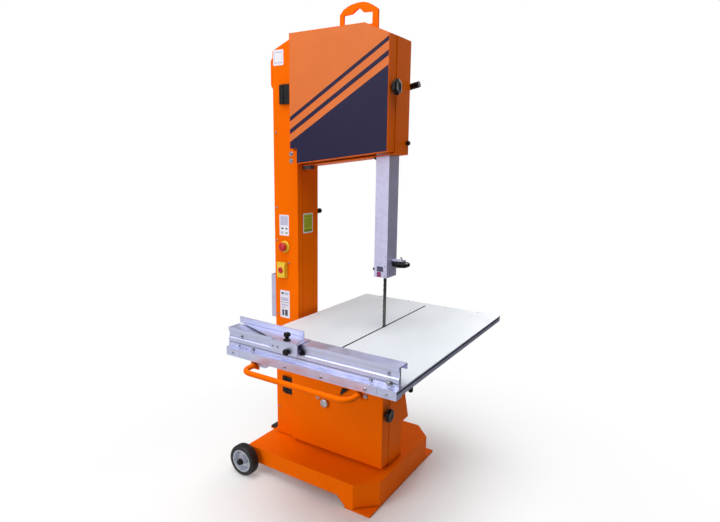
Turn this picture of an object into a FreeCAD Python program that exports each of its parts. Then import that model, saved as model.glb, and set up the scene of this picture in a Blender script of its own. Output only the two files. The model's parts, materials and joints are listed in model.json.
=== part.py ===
"""Block band saw with a sliding table, as a parametric FreeCAD document.

Frame: origin on the floor under the blade's cutting run, on the underside of the foot plate.
+X to the right of the operator, +Y away from the operator, +Z up.  Millimetres.
"""
import FreeCAD, Part
import math
import os

import Sketcher

DOC = FreeCAD.newDocument("BandSaw")

# ---------------------------------------------------------------- driving dimensions

SIZES = {
    # sheet metal and clearances
    "skin": 4.0, "thin": 3.0, "gap": 0.5,
    # base
    "deck_left": -548.0, "deck_right": 96.0, "deck_front": -252.0, "deck_back": 342.0,
    "deck_top": 115.0, "skirt_bottom": 45.0, "corner_cut": 80.0,
    "foot_left": -22.0, "foot_rise": 39.0, "foot_thick": 8.0,
    # transport wheels
    "tyre_radius": 70.0, "rim_radius": 50.0, "roll_width": 46.0, "roll_x": -531.0,
    "front_roll_y": -295.0, "rear_roll_y": 385.0, "axle_radius": 10.0,
    # body shell: rear shells in the middle, covers and doors in front
    "body_left": -515.0, "column_right": -386.0, "strip_right": -409.0,
    "strip_front": -87.0, "seam": -54.0, "body_back": 56.0,
    "lower_top": 610.0, "lower_right": 67.0, "head_right": 60.0,
    "head_low_left": 1360.0, "head_low_right": 1411.0, "head_top": 1884.0,
    "left_shoulder": 1831.0, "left_peak_x": -384.0, "right_shoulder": 1838.0, "right_peak_x": -48.0,
    "door_front": -112.0, "door_left": -405.0, "notch_x": -370.0, "notch_top": 1430.0,
    "hinge_x": -453.0, "hinge_y": -96.0, "hinge_tall": 78.0,
    "upper_hinge_low": 1614.0, "lower_hinge_low": 330.0,
    # band and its wheels
    "wheel_x": -220.0, "lower_axis": 350.0, "upper_axis": 1650.0, "wheel_radius": 219.2,
    "wheel_half": 15.0, "band_half": 13.5, "band_inner": 219.55, "band_outer": 220.45,
    "shaft_radius": 12.5,
    # guide post
    "post_low": 922.0, "post_high": 1448.0, "post_left": -29.0, "post_right": 30.0,
    "post_front": -41.0, "post_back": 39.0,
    # table
    "table_left": -360.0, "table_right": 352.0, "table_front": -542.0, "table_back": 447.0,
    "table_top": 704.0, "table_low": 673.0, "rail_low": 679.0, "runner_top": 669.0, "slot_half": 4.0,
    "slot_near": -450.0, "slot_far": 406.0, "runner_x": 290.0, "roller_radius": 13.0,
    # fence and mitre stop
    "fence_left": -361.0, "fence_right": 352.0, "fence_front": -528.0, "fence_top": 775.0,
    "mitre_x": -72.0, "mitre_y": -540.0,
    # drive
    "motor_x": -400.0, "motor_z": 225.0, "drive_pulley_radius": 60.0, "motor_pulley_radius": 30.0,
}


class Dim:
    """A length: its number, and the text of the sheet expression that gives it."""

    def __init__(self, number, text):
        self.number = float(number)
        self.text = text

    def __float__(self):
        return self.number

    def __add__(self, other):
        other = dim(other)
        return Dim(self.number + other.number, f"({self.text} + {other.text})")

    def __sub__(self, other):
        other = dim(other)
        return Dim(self.number - other.number, f"({self.text} - {other.text})")

    def __mul__(self, factor):
        return Dim(self.number * factor, f"({self.text} * {factor})")

    def __neg__(self):
        return Dim(-self.number, f"(0 - {self.text})")

    def __radd__(self, other):
        return dim(other) + self

    def __rsub__(self, other):
        return dim(other) - self

    __rmul__ = __mul__


def dim(value):
    """A Dim from a Dim or from a plain number."""
    if isinstance(value, Dim):
        return value
    return Dim(value, f"({value})")


class Sheet:
    """The document's spreadsheet, one alias for each driving dimension."""

    def __init__(self, sizes):
        table = DOC.addObject("Spreadsheet::Sheet", "Dims")
        for row, (alias, number) in enumerate(sizes.items(), start=1):
            table.set(f"A{row}", alias)
            table.set(f"B{row}", str(number))
            table.setAlias(f"B{row}", alias)
            setattr(self, alias, Dim(number, f"Dims.{alias}"))
        DOC.recompute()


d = Sheet(SIZES)
NODES = []


def node(thing, name):
    """Mark an object as a finished sub-part with its own name."""
    thing.Label = name
    NODES.append(thing)
    return thing


# ---------------------------------------------------------------- Part primitives

AXES = {"X": FreeCAD.Vector(1, 0, 0), "Y": FreeCAD.Vector(0, 1, 0), "Z": FreeCAD.Vector(0, 0, 1)}


def place(thing, x, y, z):
    """Bind an object's position to the sheet."""
    for letter, value in zip("xyz", (x, y, z)):
        thing.setExpression(f".Placement.Base.{letter}", dim(value).text)


def block(name, x, y, z):
    """A box between the low and high value of each axis."""
    box = DOC.addObject("Part::Box", name)
    for prop, span in zip(("Length", "Width", "Height"), (x, y, z)):
        box.setExpression(prop, (dim(span[1]) - span[0]).text)
    place(box, x[0], y[0], z[0])
    return box


def rod(name, axis, start, radius, length):
    """A cylinder from start, a length along the positive axis."""
    bar = DOC.addObject("Part::Cylinder", name)
    bar.setExpression("Radius", dim(radius).text)
    bar.setExpression("Height", dim(length).text)
    bar.Placement.Rotation = FreeCAD.Rotation(AXES["Z"], AXES[axis])
    place(bar, *start)
    return bar


def ball(name, centre, radius):
    """A sphere."""
    sphere = DOC.addObject("Part::Sphere", name)
    sphere.setExpression("Radius", dim(radius).text)
    place(sphere, *centre)
    return sphere


def fused(name, *pieces):
    """One solid out of several that overlap."""
    joined = DOC.addObject("Part::MultiFuse", name)
    joined.Shapes = list(pieces)
    joined.Refine = True
    return joined


def without(name, base, *tools):
    """The base with each tool cut away from it."""
    for number, tool in enumerate(tools):
        result = DOC.addObject("Part::Cut", f"{name}_cut{number}")
        result.Base = base
        result.Tool = tool
        base = result
    return base


def grouped(name, *pieces):
    """Separate solids that share one sub-part."""
    group = DOC.addObject("Part::Compound", name)
    group.Links = list(pieces)
    return group


# ---------------------------------------------------------------- PartDesign bodies

ROLES = {"XY": "XY_Plane", "XZ": "XZ_Plane", "YZ": "YZ_Plane"}


def new_body(name):
    """An empty PartDesign body that is a finished sub-part."""
    return node(DOC.addObject("PartDesign::Body", name), name)


def sketch_on(body, plane, offset):
    """A sketch on one of the body's origin planes, moved by offset in the sketch's own axes."""
    sketch = body.newObject("Sketcher::SketchObject", f"{body.Name}_sketch")
    base = [part for part in body.Origin.OriginFeatures if part.Role == ROLES[plane]][0]
    sketch.AttachmentSupport = (base, [""])
    sketch.MapMode = "FlatFace"
    for letter, value in zip("xyz", offset):
        sketch.setExpression(f".AttachmentOffset.Base.{letter}", dim(value).text)
    return sketch


def pin_point(sketch, element, point, x, y):
    """Tie one point of the sketch to the sheet."""
    for kind, value in (("DistanceX", dim(x)), ("DistanceY", dim(y))):
        index = sketch.addConstraint(Sketcher.Constraint(kind, -1, 1, element, point, value.number))
        sketch.setExpression(f"Constraints[{index}]", value.text)


def draw_outline(sketch, points):
    """A closed polygon whose corners are tied to the sheet."""
    corners = [FreeCAD.Vector(float(x), float(y), 0) for x, y in points]
    first = sketch.GeometryCount
    count = len(corners)
    for number in range(count):
        sketch.addGeometry(Part.LineSegment(corners[number], corners[(number + 1) % count]))
    for number in range(count):
        following = first + (number + 1) % count
        sketch.addConstraint(Sketcher.Constraint("Coincident", first + number, 2, following, 1))
    for number, (x, y) in enumerate(points):
        pin_point(sketch, first + number, 1, x, y)


def draw_circle(sketch, x, y, radius):
    """A circle tied to the sheet."""
    centre = FreeCAD.Vector(float(x), float(y), 0)
    element = sketch.addGeometry(Part.Circle(centre, AXES["Z"], float(radius)))
    pin_point(sketch, element, 3, x, y)
    index = sketch.addConstraint(Sketcher.Constraint("Radius", element, float(radius)))
    sketch.setExpression(f"Constraints[{index}]", dim(radius).text)


def draw(sketch, shapes):
    """Draw outlines (lists of points) and circles (x, y, radius)."""
    for shape in shapes:
        if isinstance(shape, list):
            draw_outline(sketch, shape)
        else:
            draw_circle(sketch, *shape)


def pad(body, plane, span, *shapes):
    """Add material between the two coordinates of span, along the plane's row axis."""
    offset = -dim(span[1]) if plane == "XZ" else span[0]
    sketch = sketch_on(body, plane, (0, 0, offset))
    draw(sketch, shapes)
    feature = body.newObject("PartDesign::Pad", f"{body.Name}_pad")
    feature.Profile = sketch
    feature.setExpression("Length", (dim(span[1]) - span[0]).text)
    return feature


def pocket(body, plane, span, *shapes):
    """Remove material between the two coordinates of span, along the plane's row axis."""
    offset = -dim(span[0]) if plane == "XZ" else span[1]
    sketch = sketch_on(body, plane, (0, 0, offset))
    draw(sketch, shapes)
    feature = body.newObject("PartDesign::Pocket", f"{body.Name}_pocket")
    feature.Profile = sketch
    feature.setExpression("Length", (dim(span[1]) - span[0]).text)
    return feature


def turned(body, axis, centre, profile):
    """Revolve a profile of (along, radius) points about a line through centre."""
    x, y, z = centre
    if axis == "Y":
        sketch = sketch_on(body, "YZ", (y, z, x))
        points = profile
    elif axis == "X":
        sketch = sketch_on(body, "XZ", (x, z, -dim(y)))
        points = profile
    else:
        sketch = sketch_on(body, "XZ", (x, z, -dim(y)))
        points = [(radius, along) for along, radius in profile]
    draw_outline(sketch, points)
    feature = body.newObject("PartDesign::Revolution", f"{body.Name}_turned")
    feature.Profile = sketch
    feature.ReferenceAxis = (sketch, ["V_Axis" if axis == "Z" else "H_Axis"])
    feature.Angle = 360
    return feature


def around(body, feature, axis, count):
    """Repeat a feature about the origin axis of its own sketch."""
    pattern = body.newObject("PartDesign::PolarPattern", f"{body.Name}_around")
    pattern.Originals = [feature]
    pattern.Axis = (feature.Profile[0], [axis])
    pattern.Angle = 360
    pattern.Occurrences = count
    body.Tip = pattern
    return pattern


def rect(u, v):
    """The corners of a rectangle from its two spans."""
    return [(u[0], v[0]), (u[1], v[0]), (u[1], v[1]), (u[0], v[1])]


def tube_along(name, points, radius, bend):
    """A round bar along straight runs with equal bends at its corners."""
    corners = [FreeCAD.Vector(*[float(value) for value in point]) for point in points]
    edges = []
    start = corners[0]
    for before, corner, after in zip(corners, corners[1:], corners[2:]):
        come = (before - corner).normalize()
        leave = (after - corner).normalize()
        reach = bend / math.tan(come.getAngle(leave) / 2)
        arc_start = corner + come * reach
        arc_end = corner + leave * reach
        inward = (come + leave).normalize()
        middle = corner + inward * (math.hypot(reach, bend) - bend)
        edges.append(Part.LineSegment(start, arc_start).toShape())
        edges.append(Part.Arc(arc_start, middle, arc_end).toShape())
        start = arc_end
    edges.append(Part.LineSegment(start, corners[-1]).toShape())
    path = Part.Wire(edges)
    circle = Part.Wire(Part.makeCircle(radius, corners[0], corners[1] - corners[0]))
    tube = DOC.addObject("Part::Feature", name)
    tube.Shape = path.makePipeShell([circle], True, False)
    tube.Placement = FreeCAD.Placement()
    return tube


# ---------------------------------------------------------------- base and transport wheels

def make_base_deck():
    """Folded deck tray: top sheet, skirts that slope down to the foot, and the tilt tongue."""
    body = new_body("base_deck")
    cut = d.corner_cut
    outer = [
        (d.deck_left, d.deck_front), (d.deck_right - cut, d.deck_front), (d.deck_right, d.deck_front + cut),
        (d.deck_right, d.deck_back - cut), (d.deck_right - cut, d.deck_back), (d.deck_left, d.deck_back),
    ]
    wall = d.skin
    slant = cut + wall * 0.414
    inner = [
        (d.deck_left + wall, d.deck_front + wall), (d.deck_right - slant, d.deck_front + wall),
        (d.deck_right - wall, d.deck_front + slant), (d.deck_right - wall, d.deck_back - slant),
        (d.deck_right - slant, d.deck_back - wall), (d.deck_left + wall, d.deck_back - wall),
    ]
    pad(body, "XY", (d.foot_thick, d.deck_top), outer)
    pocket(body, "XY", (d.foot_thick, d.deck_top - wall), inner)
    ends = (d.deck_front - 1, d.deck_back + 1)
    rise_end = d.foot_left - d.foot_rise
    below = [
        (d.deck_left - 1, 0), (d.foot_left, 0), (d.foot_left, d.foot_thick),
        (rise_end, d.skirt_bottom), (d.deck_left - 1, d.skirt_bottom),
    ]
    pocket(body, "XZ", ends, below)
    pocket(body, "XZ", ends, (d.roll_x, d.tyre_radius, d.axle_radius))
    pad(body, "XY", (92, 97), rect((d.deck_left - 48, d.deck_left + wall * 0.5), (-45, 32)))


def make_foot_plate():
    """Floor plate under the right-hand end of the deck."""
    spans = (d.foot_left, d.deck_right), (d.deck_front, d.deck_back), (0, d.foot_thick)
    node(block("foot_plate", *spans), "foot_plate")


def make_tilt_step():
    """Rubber ramp over the tongue and the deck's edge, to put a foot on while tilting the saw."""
    body = new_body("tilt_step")
    edge = d.deck_left
    ramp = [
        (edge - 48, 97), (edge, 97), (edge, d.deck_top), (edge + 24, d.deck_top),
        (edge + 24, d.deck_top + 25), (edge - 48, 105),
    ]
    pad(body, "XZ", (-42, 29), ramp)


def make_transport_axle():
    """Through axle of the two transport wheels."""
    low = d.front_roll_y - 33
    high = d.rear_roll_y + 33
    axle = rod("transport_axle", "Y", (d.roll_x, low, d.tyre_radius), d.axle_radius, high - low)
    node(axle, "transport_axle")


def make_roll(side, centre_y, outward):
    """One transport wheel: a ribbed rubber tyre on a dished rim.  outward is -1 at the front."""
    centre = (d.roll_x, centre_y, d.tyre_radius)
    half = d.roll_width * 0.5
    tyre = new_body(f"{side}_tyre")
    crown = 8
    turned(tyre, "Y", centre, [
        (-half, d.rim_radius), (half, d.rim_radius), (half, d.tyre_radius - crown),
        (half - crown, d.tyre_radius), (crown - half, d.tyre_radius), (-half, d.tyre_radius - crown),
    ])
    rim = new_body(f"{side}_rim")
    hub = 18
    bore = d.axle_radius + 0.05
    dish = [
        (-half, bore), (half, bore), (half, hub), (6, 22), (6, 38), (half - 3, 44), (half - 3, d.rim_radius),
        (3 - half, d.rim_radius), (3 - half, 46), (2, 39), (2, 20), (-half, hub),
    ]
    turned(rim, "Y", centre, [(dim(along) * outward, radius) for along, radius in dish])


# ---------------------------------------------------------------- body shell

def head_outline(inset):
    """Outline of the head: sloping bottom, flat top and a cut corner at each side."""
    return [
        (d.body_left + inset, d.head_low_left + inset),
        (d.column_right, d.head_low_left + inset),
        (d.head_right - inset, d.head_low_right + inset),
        (d.head_right - inset, d.right_shoulder - inset * 0.6),
        (d.right_peak_x - inset * 0.2, d.head_top - inset),
        (d.left_peak_x + inset * 0.2, d.head_top - inset),
        (d.body_left + inset, d.left_shoulder - inset * 0.6),
    ]


COLUMN_HOLLOW = (d.body_left + d.skin, d.column_right - d.skin)
CARRIAGE_HALF = 45
E_STOP = (-459, 1010)
SWITCH = (-470, 906)


def make_lower_casing():
    """Rear shell of the lower wheel housing, open to the front and to the column above."""
    body = new_body("lower_casing")
    depth = (d.seam, d.body_back)
    pad(body, "XZ", depth, rect((d.body_left, d.lower_right), (d.deck_top, d.lower_top)))
    wall = d.skin
    inner = rect((d.body_left + wall, d.lower_right - wall), (d.deck_top + wall, d.lower_top - wall))
    pocket(body, "XZ", (d.seam, d.body_back - wall), inner)
    roof = (d.lower_top - wall - 1, d.lower_top)
    pocket(body, "XY", roof, rect(COLUMN_HOLLOW, (d.seam, d.body_back - wall)))
    pocket(body, "XY", roof, rect((-8, 8), (-24, 24)))
    bearing = (d.wheel_x, d.lower_axis, d.shaft_radius + 0.05)
    pad(body, "XZ", (d.body_back - wall - 22, d.body_back - wall), (d.wheel_x, d.lower_axis, 30))
    pocket(body, "XZ", (d.body_back - wall - 23, d.body_back + 1), bearing)
    outlet = rect((-104, 50), (285, 455))
    pocket(body, "XZ", (d.body_back - wall - 1, d.body_back + 1), outlet)


def make_column_channel():
    """Rear channel of the column, open to the front."""
    body = new_body("column_channel")
    height = (d.lower_top, d.head_low_left)
    pad(body, "XY", height, rect((d.body_left, d.column_right), (d.seam, d.body_back)))
    pocket(body, "XY", height, rect(COLUMN_HOLLOW, (d.seam, d.body_back - d.skin)))


def make_upper_casing():
    """Rear shell of the head with the clamp sleeve of the guide post."""
    body = new_body("upper_casing")
    wall = d.skin
    pad(body, "XZ", (d.seam, d.body_back), head_outline(0))
    pocket(body, "XZ", (d.seam, d.body_back - wall), head_outline(wall))
    through = (d.head_low_left - 1, d.head_low_right + 20)
    pocket(body, "XY", (d.head_low_left, d.head_low_left + wall + 1),
           rect(COLUMN_HOLLOW, (d.seam, d.body_back - wall)))
    slack = 4
    hole = rect((d.post_left - slack, d.post_right + slack), (d.post_front - slack, d.post_back + slack))
    pocket(body, "XY", through, hole)
    slot = rect((d.wheel_x - 15, d.wheel_x + 15), (d.upper_axis - 60, d.upper_axis + 30))
    pocket(body, "XZ", (d.body_back - wall - 1, d.body_back + 1), slot)
    make_post_sleeve(body)
    make_carriage_gibs(body)


def make_post_sleeve(body):
    """Sleeve in the head that guides the post on three sides."""
    fit = 0.3
    reach = 6
    left = -20
    back = d.post_back + fit
    front = d.post_front - fit
    right = d.post_right + fit
    section = [
        (left, front - reach), (d.head_right - d.skin, front - reach), (d.head_right - d.skin, back + reach),
        (left, back + reach), (left, back), (right, back), (right, front), (left, front),
    ]
    pad(body, "XY", (d.post_high - 34, d.post_high - 2), section)


def make_carriage_gibs(body):
    """Two hooked rails on the back that the tension carriage slides between."""
    fit = 0.4
    back = d.body_back
    for side in (-1, 1):
        inner = d.wheel_x + side * (CARRIAGE_HALF + fit)
        outer = d.wheel_x + side * (CARRIAGE_HALF + 14)
        lip = d.wheel_x + side * (CARRIAGE_HALF - 7)
        section = [
            (outer, back), (inner, back), (inner, back + 14 + fit), (lip, back + 14 + fit),
            (lip, back + 19), (outer, back + 19),
        ]
        pad(body, "XY", (d.upper_axis - 62, d.upper_axis + 50), section)


def make_column_cover():
    """Front cover of the column, from the deck to the head's shoulder, carrying the controls.

    The last step back to the seam is set in a little, which draws the joint line.
    """
    body = new_body("column_cover")
    slope = (d.head_top - d.left_shoulder) * 0.81
    peak = d.left_shoulder + slope

    def outline(inset):
        narrow = d.strip_right - inset
        wide = d.column_right - inset
        return [
            (d.body_left + inset, d.deck_top + inset), (narrow, d.deck_top + inset),
            (narrow, d.lower_top + 2 + inset), (wide, d.lower_top + 2 + inset),
            (wide, d.notch_top - 4 - inset), (narrow, d.notch_top - 4 - inset),
            (narrow, peak - inset), (d.body_left + inset, d.left_shoulder - inset * 0.7),
        ]

    seam_line = d.seam - 1.5
    pad(body, "XZ", (d.strip_front, seam_line), outline(0))
    pad(body, "XZ", (seam_line, d.seam), outline(1))
    pocket(body, "XZ", (d.strip_front + d.thin, d.seam), outline(d.thin))
    stem_hole = (*E_STOP, 11.5)
    pocket(body, "XZ", (d.strip_front - 1, d.strip_front + d.thin + 1), stem_hole)


def make_lifting_eye():
    """Arched plate on the roof; its window rises to a notch where the crane hook settles."""
    body = new_body("lifting_eye")
    left = -221
    right = -46
    crown = 1985
    plate = [
        (left, d.head_top), (right, d.head_top), (right, crown - 33), (right - 12, crown - 24),
        (right - 28, crown - 14), (right - 44, crown - 6), (right - 67, crown), (left + 80, crown),
        (left + 52, crown - 4), (left + 34, crown - 10), (left + 16, crown - 19), (left, crown - 37),
    ]
    pad(body, "XZ", (-20, -10), plate)
    sill = d.head_top + 18
    window = [
        (left + 18, sill), (right - 25, sill), (right - 24, crown - 39), (right - 66, crown - 37),
        (right - 75, crown - 28), (left + 88, crown - 19), (left + 69, crown - 30), (left + 57, crown - 38),
        (left + 18, crown - 40),
    ]
    pocket(body, "XZ", (-21, -9), window)


def make_transport_handle():
    """Bent grab bar on the left side of the head."""
    side = d.body_left
    out = side - 66
    route = [(side, -12, 1690), (out, -12, 1690), (out, -12, 1822), (side, -12, 1822)]
    node(tube_along("transport_handle", route, 8, 24), "transport_handle")


def make_side_bracket():
    """Galvanised cable bracket on the left side of the column."""
    body = new_body("side_bracket")
    outer = rect((d.body_left - 27, d.body_left), (-84, -58))
    pad(body, "XY", (680, 878), outer)
    pocket(body, "XY", (680, 878), rect((d.body_left - 25, d.body_left - 2), (-82, -58)))


def hinge_barrel(name, low, high, radius):
    """A vertical hinge knuckle or pin."""
    return rod(name, "Z", (d.hinge_x, d.hinge_y, low), radius, dim(high) - low)


def make_fixed_hinge_leaves():
    """Hinge halves on the column, each with its knuckle and its pin in one piece."""
    leaves = []
    front = d.strip_front
    for level in (d.upper_hinge_low, d.lower_hinge_low):
        half = (level, level + d.hinge_tall * 0.5 - 0.5)
        full = (level, level + d.hinge_tall)
        plate = block("hinge_plate", (d.hinge_x - 23, d.hinge_x - 7), (front - 6, front), full)
        arm = block("hinge_arm", (d.hinge_x - 7, d.hinge_x), (d.hinge_y, front - 3), half)
        knuckle = hinge_barrel("hinge_knuckle", half[0], half[1], 6)
        pin = hinge_barrel("hinge_pin", level, level + d.hinge_tall - 2, 2.5)
        leaves.append(fused("hinge_leaf", plate, arm, knuckle, pin))
    node(grouped("fixed_hinge_leaves", *leaves), "fixed_hinge_leaves")


def make_moving_hinge_leaf(name, level):
    """Hinge half on a door: knuckle, leaf and the tab against the door's side."""
    middle = level + d.hinge_tall * 0.5
    high = level + d.hinge_tall
    edge = d.door_left
    leaf = block(f"{name}_plate", (d.hinge_x + 7, edge), (d.hinge_y - 3, d.hinge_y + 2), (level, high))
    tab = block(f"{name}_tab", (edge - 3, edge), (d.door_front + 2, d.hinge_y + 2), (level, high))
    web_x = (d.hinge_x, d.hinge_x + 7)
    web = block(f"{name}_web", web_x, (d.hinge_y - 3, d.hinge_y + 2), (middle + 0.5, high))
    knuckle = hinge_barrel(f"{name}_knuckle", middle + 0.5, high, 6)
    bore = hinge_barrel(f"{name}_bore", level, high + 1, 2.55)
    solid = without(name, fused(f"{name}_body", leaf, tab, web, knuckle), bore)
    node(solid, name)


def door_pan(body, outline):
    """A door as a pan: front sheet and returns that reach back to the seam."""
    pad(body, "XZ", (d.door_front, d.seam - d.gap), outline(0))
    pocket(body, "XZ", (d.door_front + d.thin, d.seam - d.gap), outline(d.thin))


def make_upper_door():
    """Door of the head with its notch beside the column."""
    right = d.head_right - 2

    def outline(inset):
        return [
            (d.notch_x + inset, d.head_low_left + 10 + inset), (right - inset, d.head_low_right + 10 + inset),
            (right - inset, d.right_shoulder - inset * 0.6),
            (d.right_peak_x - inset * 0.2, d.head_top - inset),
            (d.door_left + inset, d.head_top - inset), (d.door_left + inset, d.notch_top + inset),
            (d.notch_x + inset, d.notch_top + inset),
        ]

    door_pan(new_body("upper_door"), outline)


def make_lower_door():
    """Door of the lower wheel housing."""

    def outline(inset):
        across = (d.door_left + inset, d.lower_right - 1.5 - inset)
        return rect(across, (130 + inset, d.lower_top - 2 - inset))

    door_pan(new_body("lower_door"), outline)


def make_lower_door_cap():
    """Round axle cap and its bolt on the lower door."""
    cap = rod("axle_cap", "Y", (d.wheel_x, d.door_front - 12, d.lower_axis), 18.5, 12)
    bolt = rod("cap_bolt", "Y", (d.wheel_x - 37, d.door_front - 7, d.lower_axis + 19), 9.5, 7)
    node(grouped("lower_door_cap", cap, bolt), "lower_door_cap")


def make_star_knob(name, axis, centre, sizes):
    """A lobed hand knob: hub, disc and finger scallops all round.

    sizes: hub radius, hub length, disc radius, disc thickness.  The hub starts at the centre
    point and the knob grows along the positive axis (negative for thickness below zero).
    """
    hub_radius, hub_length, disc_radius, thickness = sizes
    body = new_body(name)
    turned(body, axis, centre, [
        (0, 0), (0, hub_radius), (hub_length, hub_radius), (hub_length, disc_radius),
        (hub_length + thickness, disc_radius), (hub_length + thickness, 0),
    ])
    plane = {"X": "YZ", "Y": "XZ", "Z": "XY"}[axis]
    x, y, z = centre
    local = {"X": (y, z), "Y": (x, z), "Z": (x, y)}[axis]
    along = {"X": x, "Y": y, "Z": z}[axis]
    low = min(hub_length, hub_length + thickness) - 1
    high = max(hub_length, hub_length + thickness) + 1
    if plane == "XZ":
        offset = (local[0], local[1], -(dim(along) + low))
    else:
        offset = (local[0], local[1], dim(along) + high)
    sketch = sketch_on(body, plane, offset)
    draw_circle(sketch, disc_radius * 1.12, 0, disc_radius * 0.3)
    scallop = body.newObject("PartDesign::Pocket", f"{name}_scallop")
    scallop.Profile = sketch
    scallop.Length = high - low
    DOC.recompute()
    around(body, scallop, "N_Axis", 6)


# ---------------------------------------------------------------- band, wheels and drive

def make_blade():
    """The band as two pieces: the straight cutting run and the rest of the loop."""
    run = (d.wheel_x + d.band_inner, d.wheel_x + d.band_outer)
    width = (-d.band_half, d.band_half)
    node(block("blade_cutting_run", run, width, (d.lower_axis, d.upper_axis)), "blade_cutting_run")
    back = (d.wheel_x - d.band_outer, d.wheel_x - d.band_inner)
    arcs = [block("return_run", back, width, (d.lower_axis, d.upper_axis))]
    for label, level, side in (("upper", d.upper_axis, 1), ("lower", d.lower_axis, -1)):
        ring = DOC.addObject("Part::Cylinder", f"{label}_band_ring")
        ring.setExpression("Radius", d.band_outer.text)
        ring.setExpression("Height", (d.band_half * 2).text)
        ring.Angle = 180
        turn = FreeCAD.Rotation(AXES["X"], 90 * side)
        ring.Placement.Rotation = turn
        place(ring, d.wheel_x, d.band_half * side, level)
        start = (d.wheel_x, -d.band_half - 1, level)
        core = rod(f"{label}_band_core", "Y", start, d.band_inner, d.band_half * 2 + 2)
        arcs.append(without(f"{label}_band_arc", ring, core))
    loop = fused("blade_return_band", *arcs)
    node(loop, "blade_return_band")


def make_band_wheel(name, level, bore):
    """Flanged band wheel with a rubber tread, web holes and a hub."""
    body = new_body(name)
    half = d.wheel_half
    turned(body, "Y", (d.wheel_x, 0, level), [
        (-half, bore), (half + 4, bore), (half + 4, 38), (5, 42), (5, 186), (half, 192),
        (half, d.wheel_radius), (-half, d.wheel_radius), (-half, 192), (-5, 186), (-5, 42), (-half, 38),
    ])
    sketch = sketch_on(body, "XZ", (d.wheel_x, level, half))
    draw_circle(sketch, 116, 0, 44)
    hole = body.newObject("PartDesign::Pocket", f"{name}_hole")
    hole.Profile = sketch
    hole.setExpression("Length", (half * 2).text)
    DOC.recompute()
    around(body, hole, "N_Axis", 5)


def make_tension_carriage():
    """Slide block behind the head's back wall with the upper wheel's stub axle."""
    low = d.upper_axis - 50
    high = d.upper_axis + 50
    plate = block("carriage_plate", (d.wheel_x - CARRIAGE_HALF, d.wheel_x + CARRIAGE_HALF),
                  (d.body_back + d.gap, d.body_back + 14), (low, high))
    neck = rod("carriage_neck", "Y", (d.wheel_x, 25, d.upper_axis), 13.5, d.body_back - 25 + 5)
    stub = rod("carriage_stub", "Y", (d.wheel_x, -24, d.upper_axis), d.shaft_radius, 60)
    node(fused("tension_carriage", plate, neck, stub), "tension_carriage")


def make_tension_lever():
    """Quick-release lever of the band tension, on the back of the head."""
    pivot_x, pivot_z = -120, 1641
    rise = 11.6
    hub = rod("lever_hub", "Y", (pivot_x, d.body_back + d.gap, pivot_z), 22, 42)
    spin = FreeCAD.Rotation(AXES["Y"], 90 - rise)
    direction = spin.multVec(AXES["Z"])
    bars = []
    for name, radius, start, length in (("lever_arm", 7, 10, 110), ("lever_grip", 12, 118, 91)):
        bar = DOC.addObject("Part::Cylinder", name)
        bar.Radius = radius
        bar.Height = length
        base = FreeCAD.Vector(pivot_x, float(d.body_back) + 31, pivot_z) + direction * start
        bar.Placement = FreeCAD.Placement(base, spin)
        bars.append(bar)
    node(fused("tension_lever", hub, *bars), "tension_lever")


def make_drive():
    """Lower shaft, both pulleys, the flat belt round them, and the motor on its feet."""
    shaft = rod("drive_shaft", "Y", (d.wheel_x, -26, d.lower_axis), d.shaft_radius, 106)
    node(shaft, "drive_shaft")
    groove = (d.body_back + 6, d.body_back + 22)
    pulleys = (
        ("drive_pulley", d.wheel_x, d.lower_axis, d.drive_pulley_radius, d.shaft_radius),
        ("motor_pulley", d.motor_x, d.motor_z, d.motor_pulley_radius, 9.05),
    )
    for name, x, z, radius, bore in pulleys:
        body = new_body(name)
        pad(body, "XZ", groove, (x, z, radius))
        pocket(body, "XZ", groove, (x, z, bore))
    make_belt()
    body_low = d.body_back + 34
    centre = (d.motor_x, body_low, d.motor_z)
    can = rod("motor_can", "Y", centre, 72, 190)
    fan = rod("motor_fan_cowl", "Y", (d.motor_x, body_low + 190, d.motor_z), 66, 40)
    shaft = rod("motor_shaft", "Y", (d.motor_x, d.body_back + 4, d.motor_z), 9, 40)
    feet = block("motor_feet", (d.motor_x - 62, d.motor_x + 62), (body_low + 30, body_low + 160),
                 (d.deck_top, d.motor_z - 50))
    box = block("terminal_box", (d.motor_x - 45, d.motor_x + 45), (body_low + 50, body_low + 140),
                (d.motor_z + 50, d.motor_z + 108))
    gland = rod("cable_gland", "X", (d.motor_x + 44, body_low + 95, d.motor_z + 85), 11, 22)
    node(fused("drive_motor", can, fan, shaft, feet, box, gland), "drive_motor")


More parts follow.
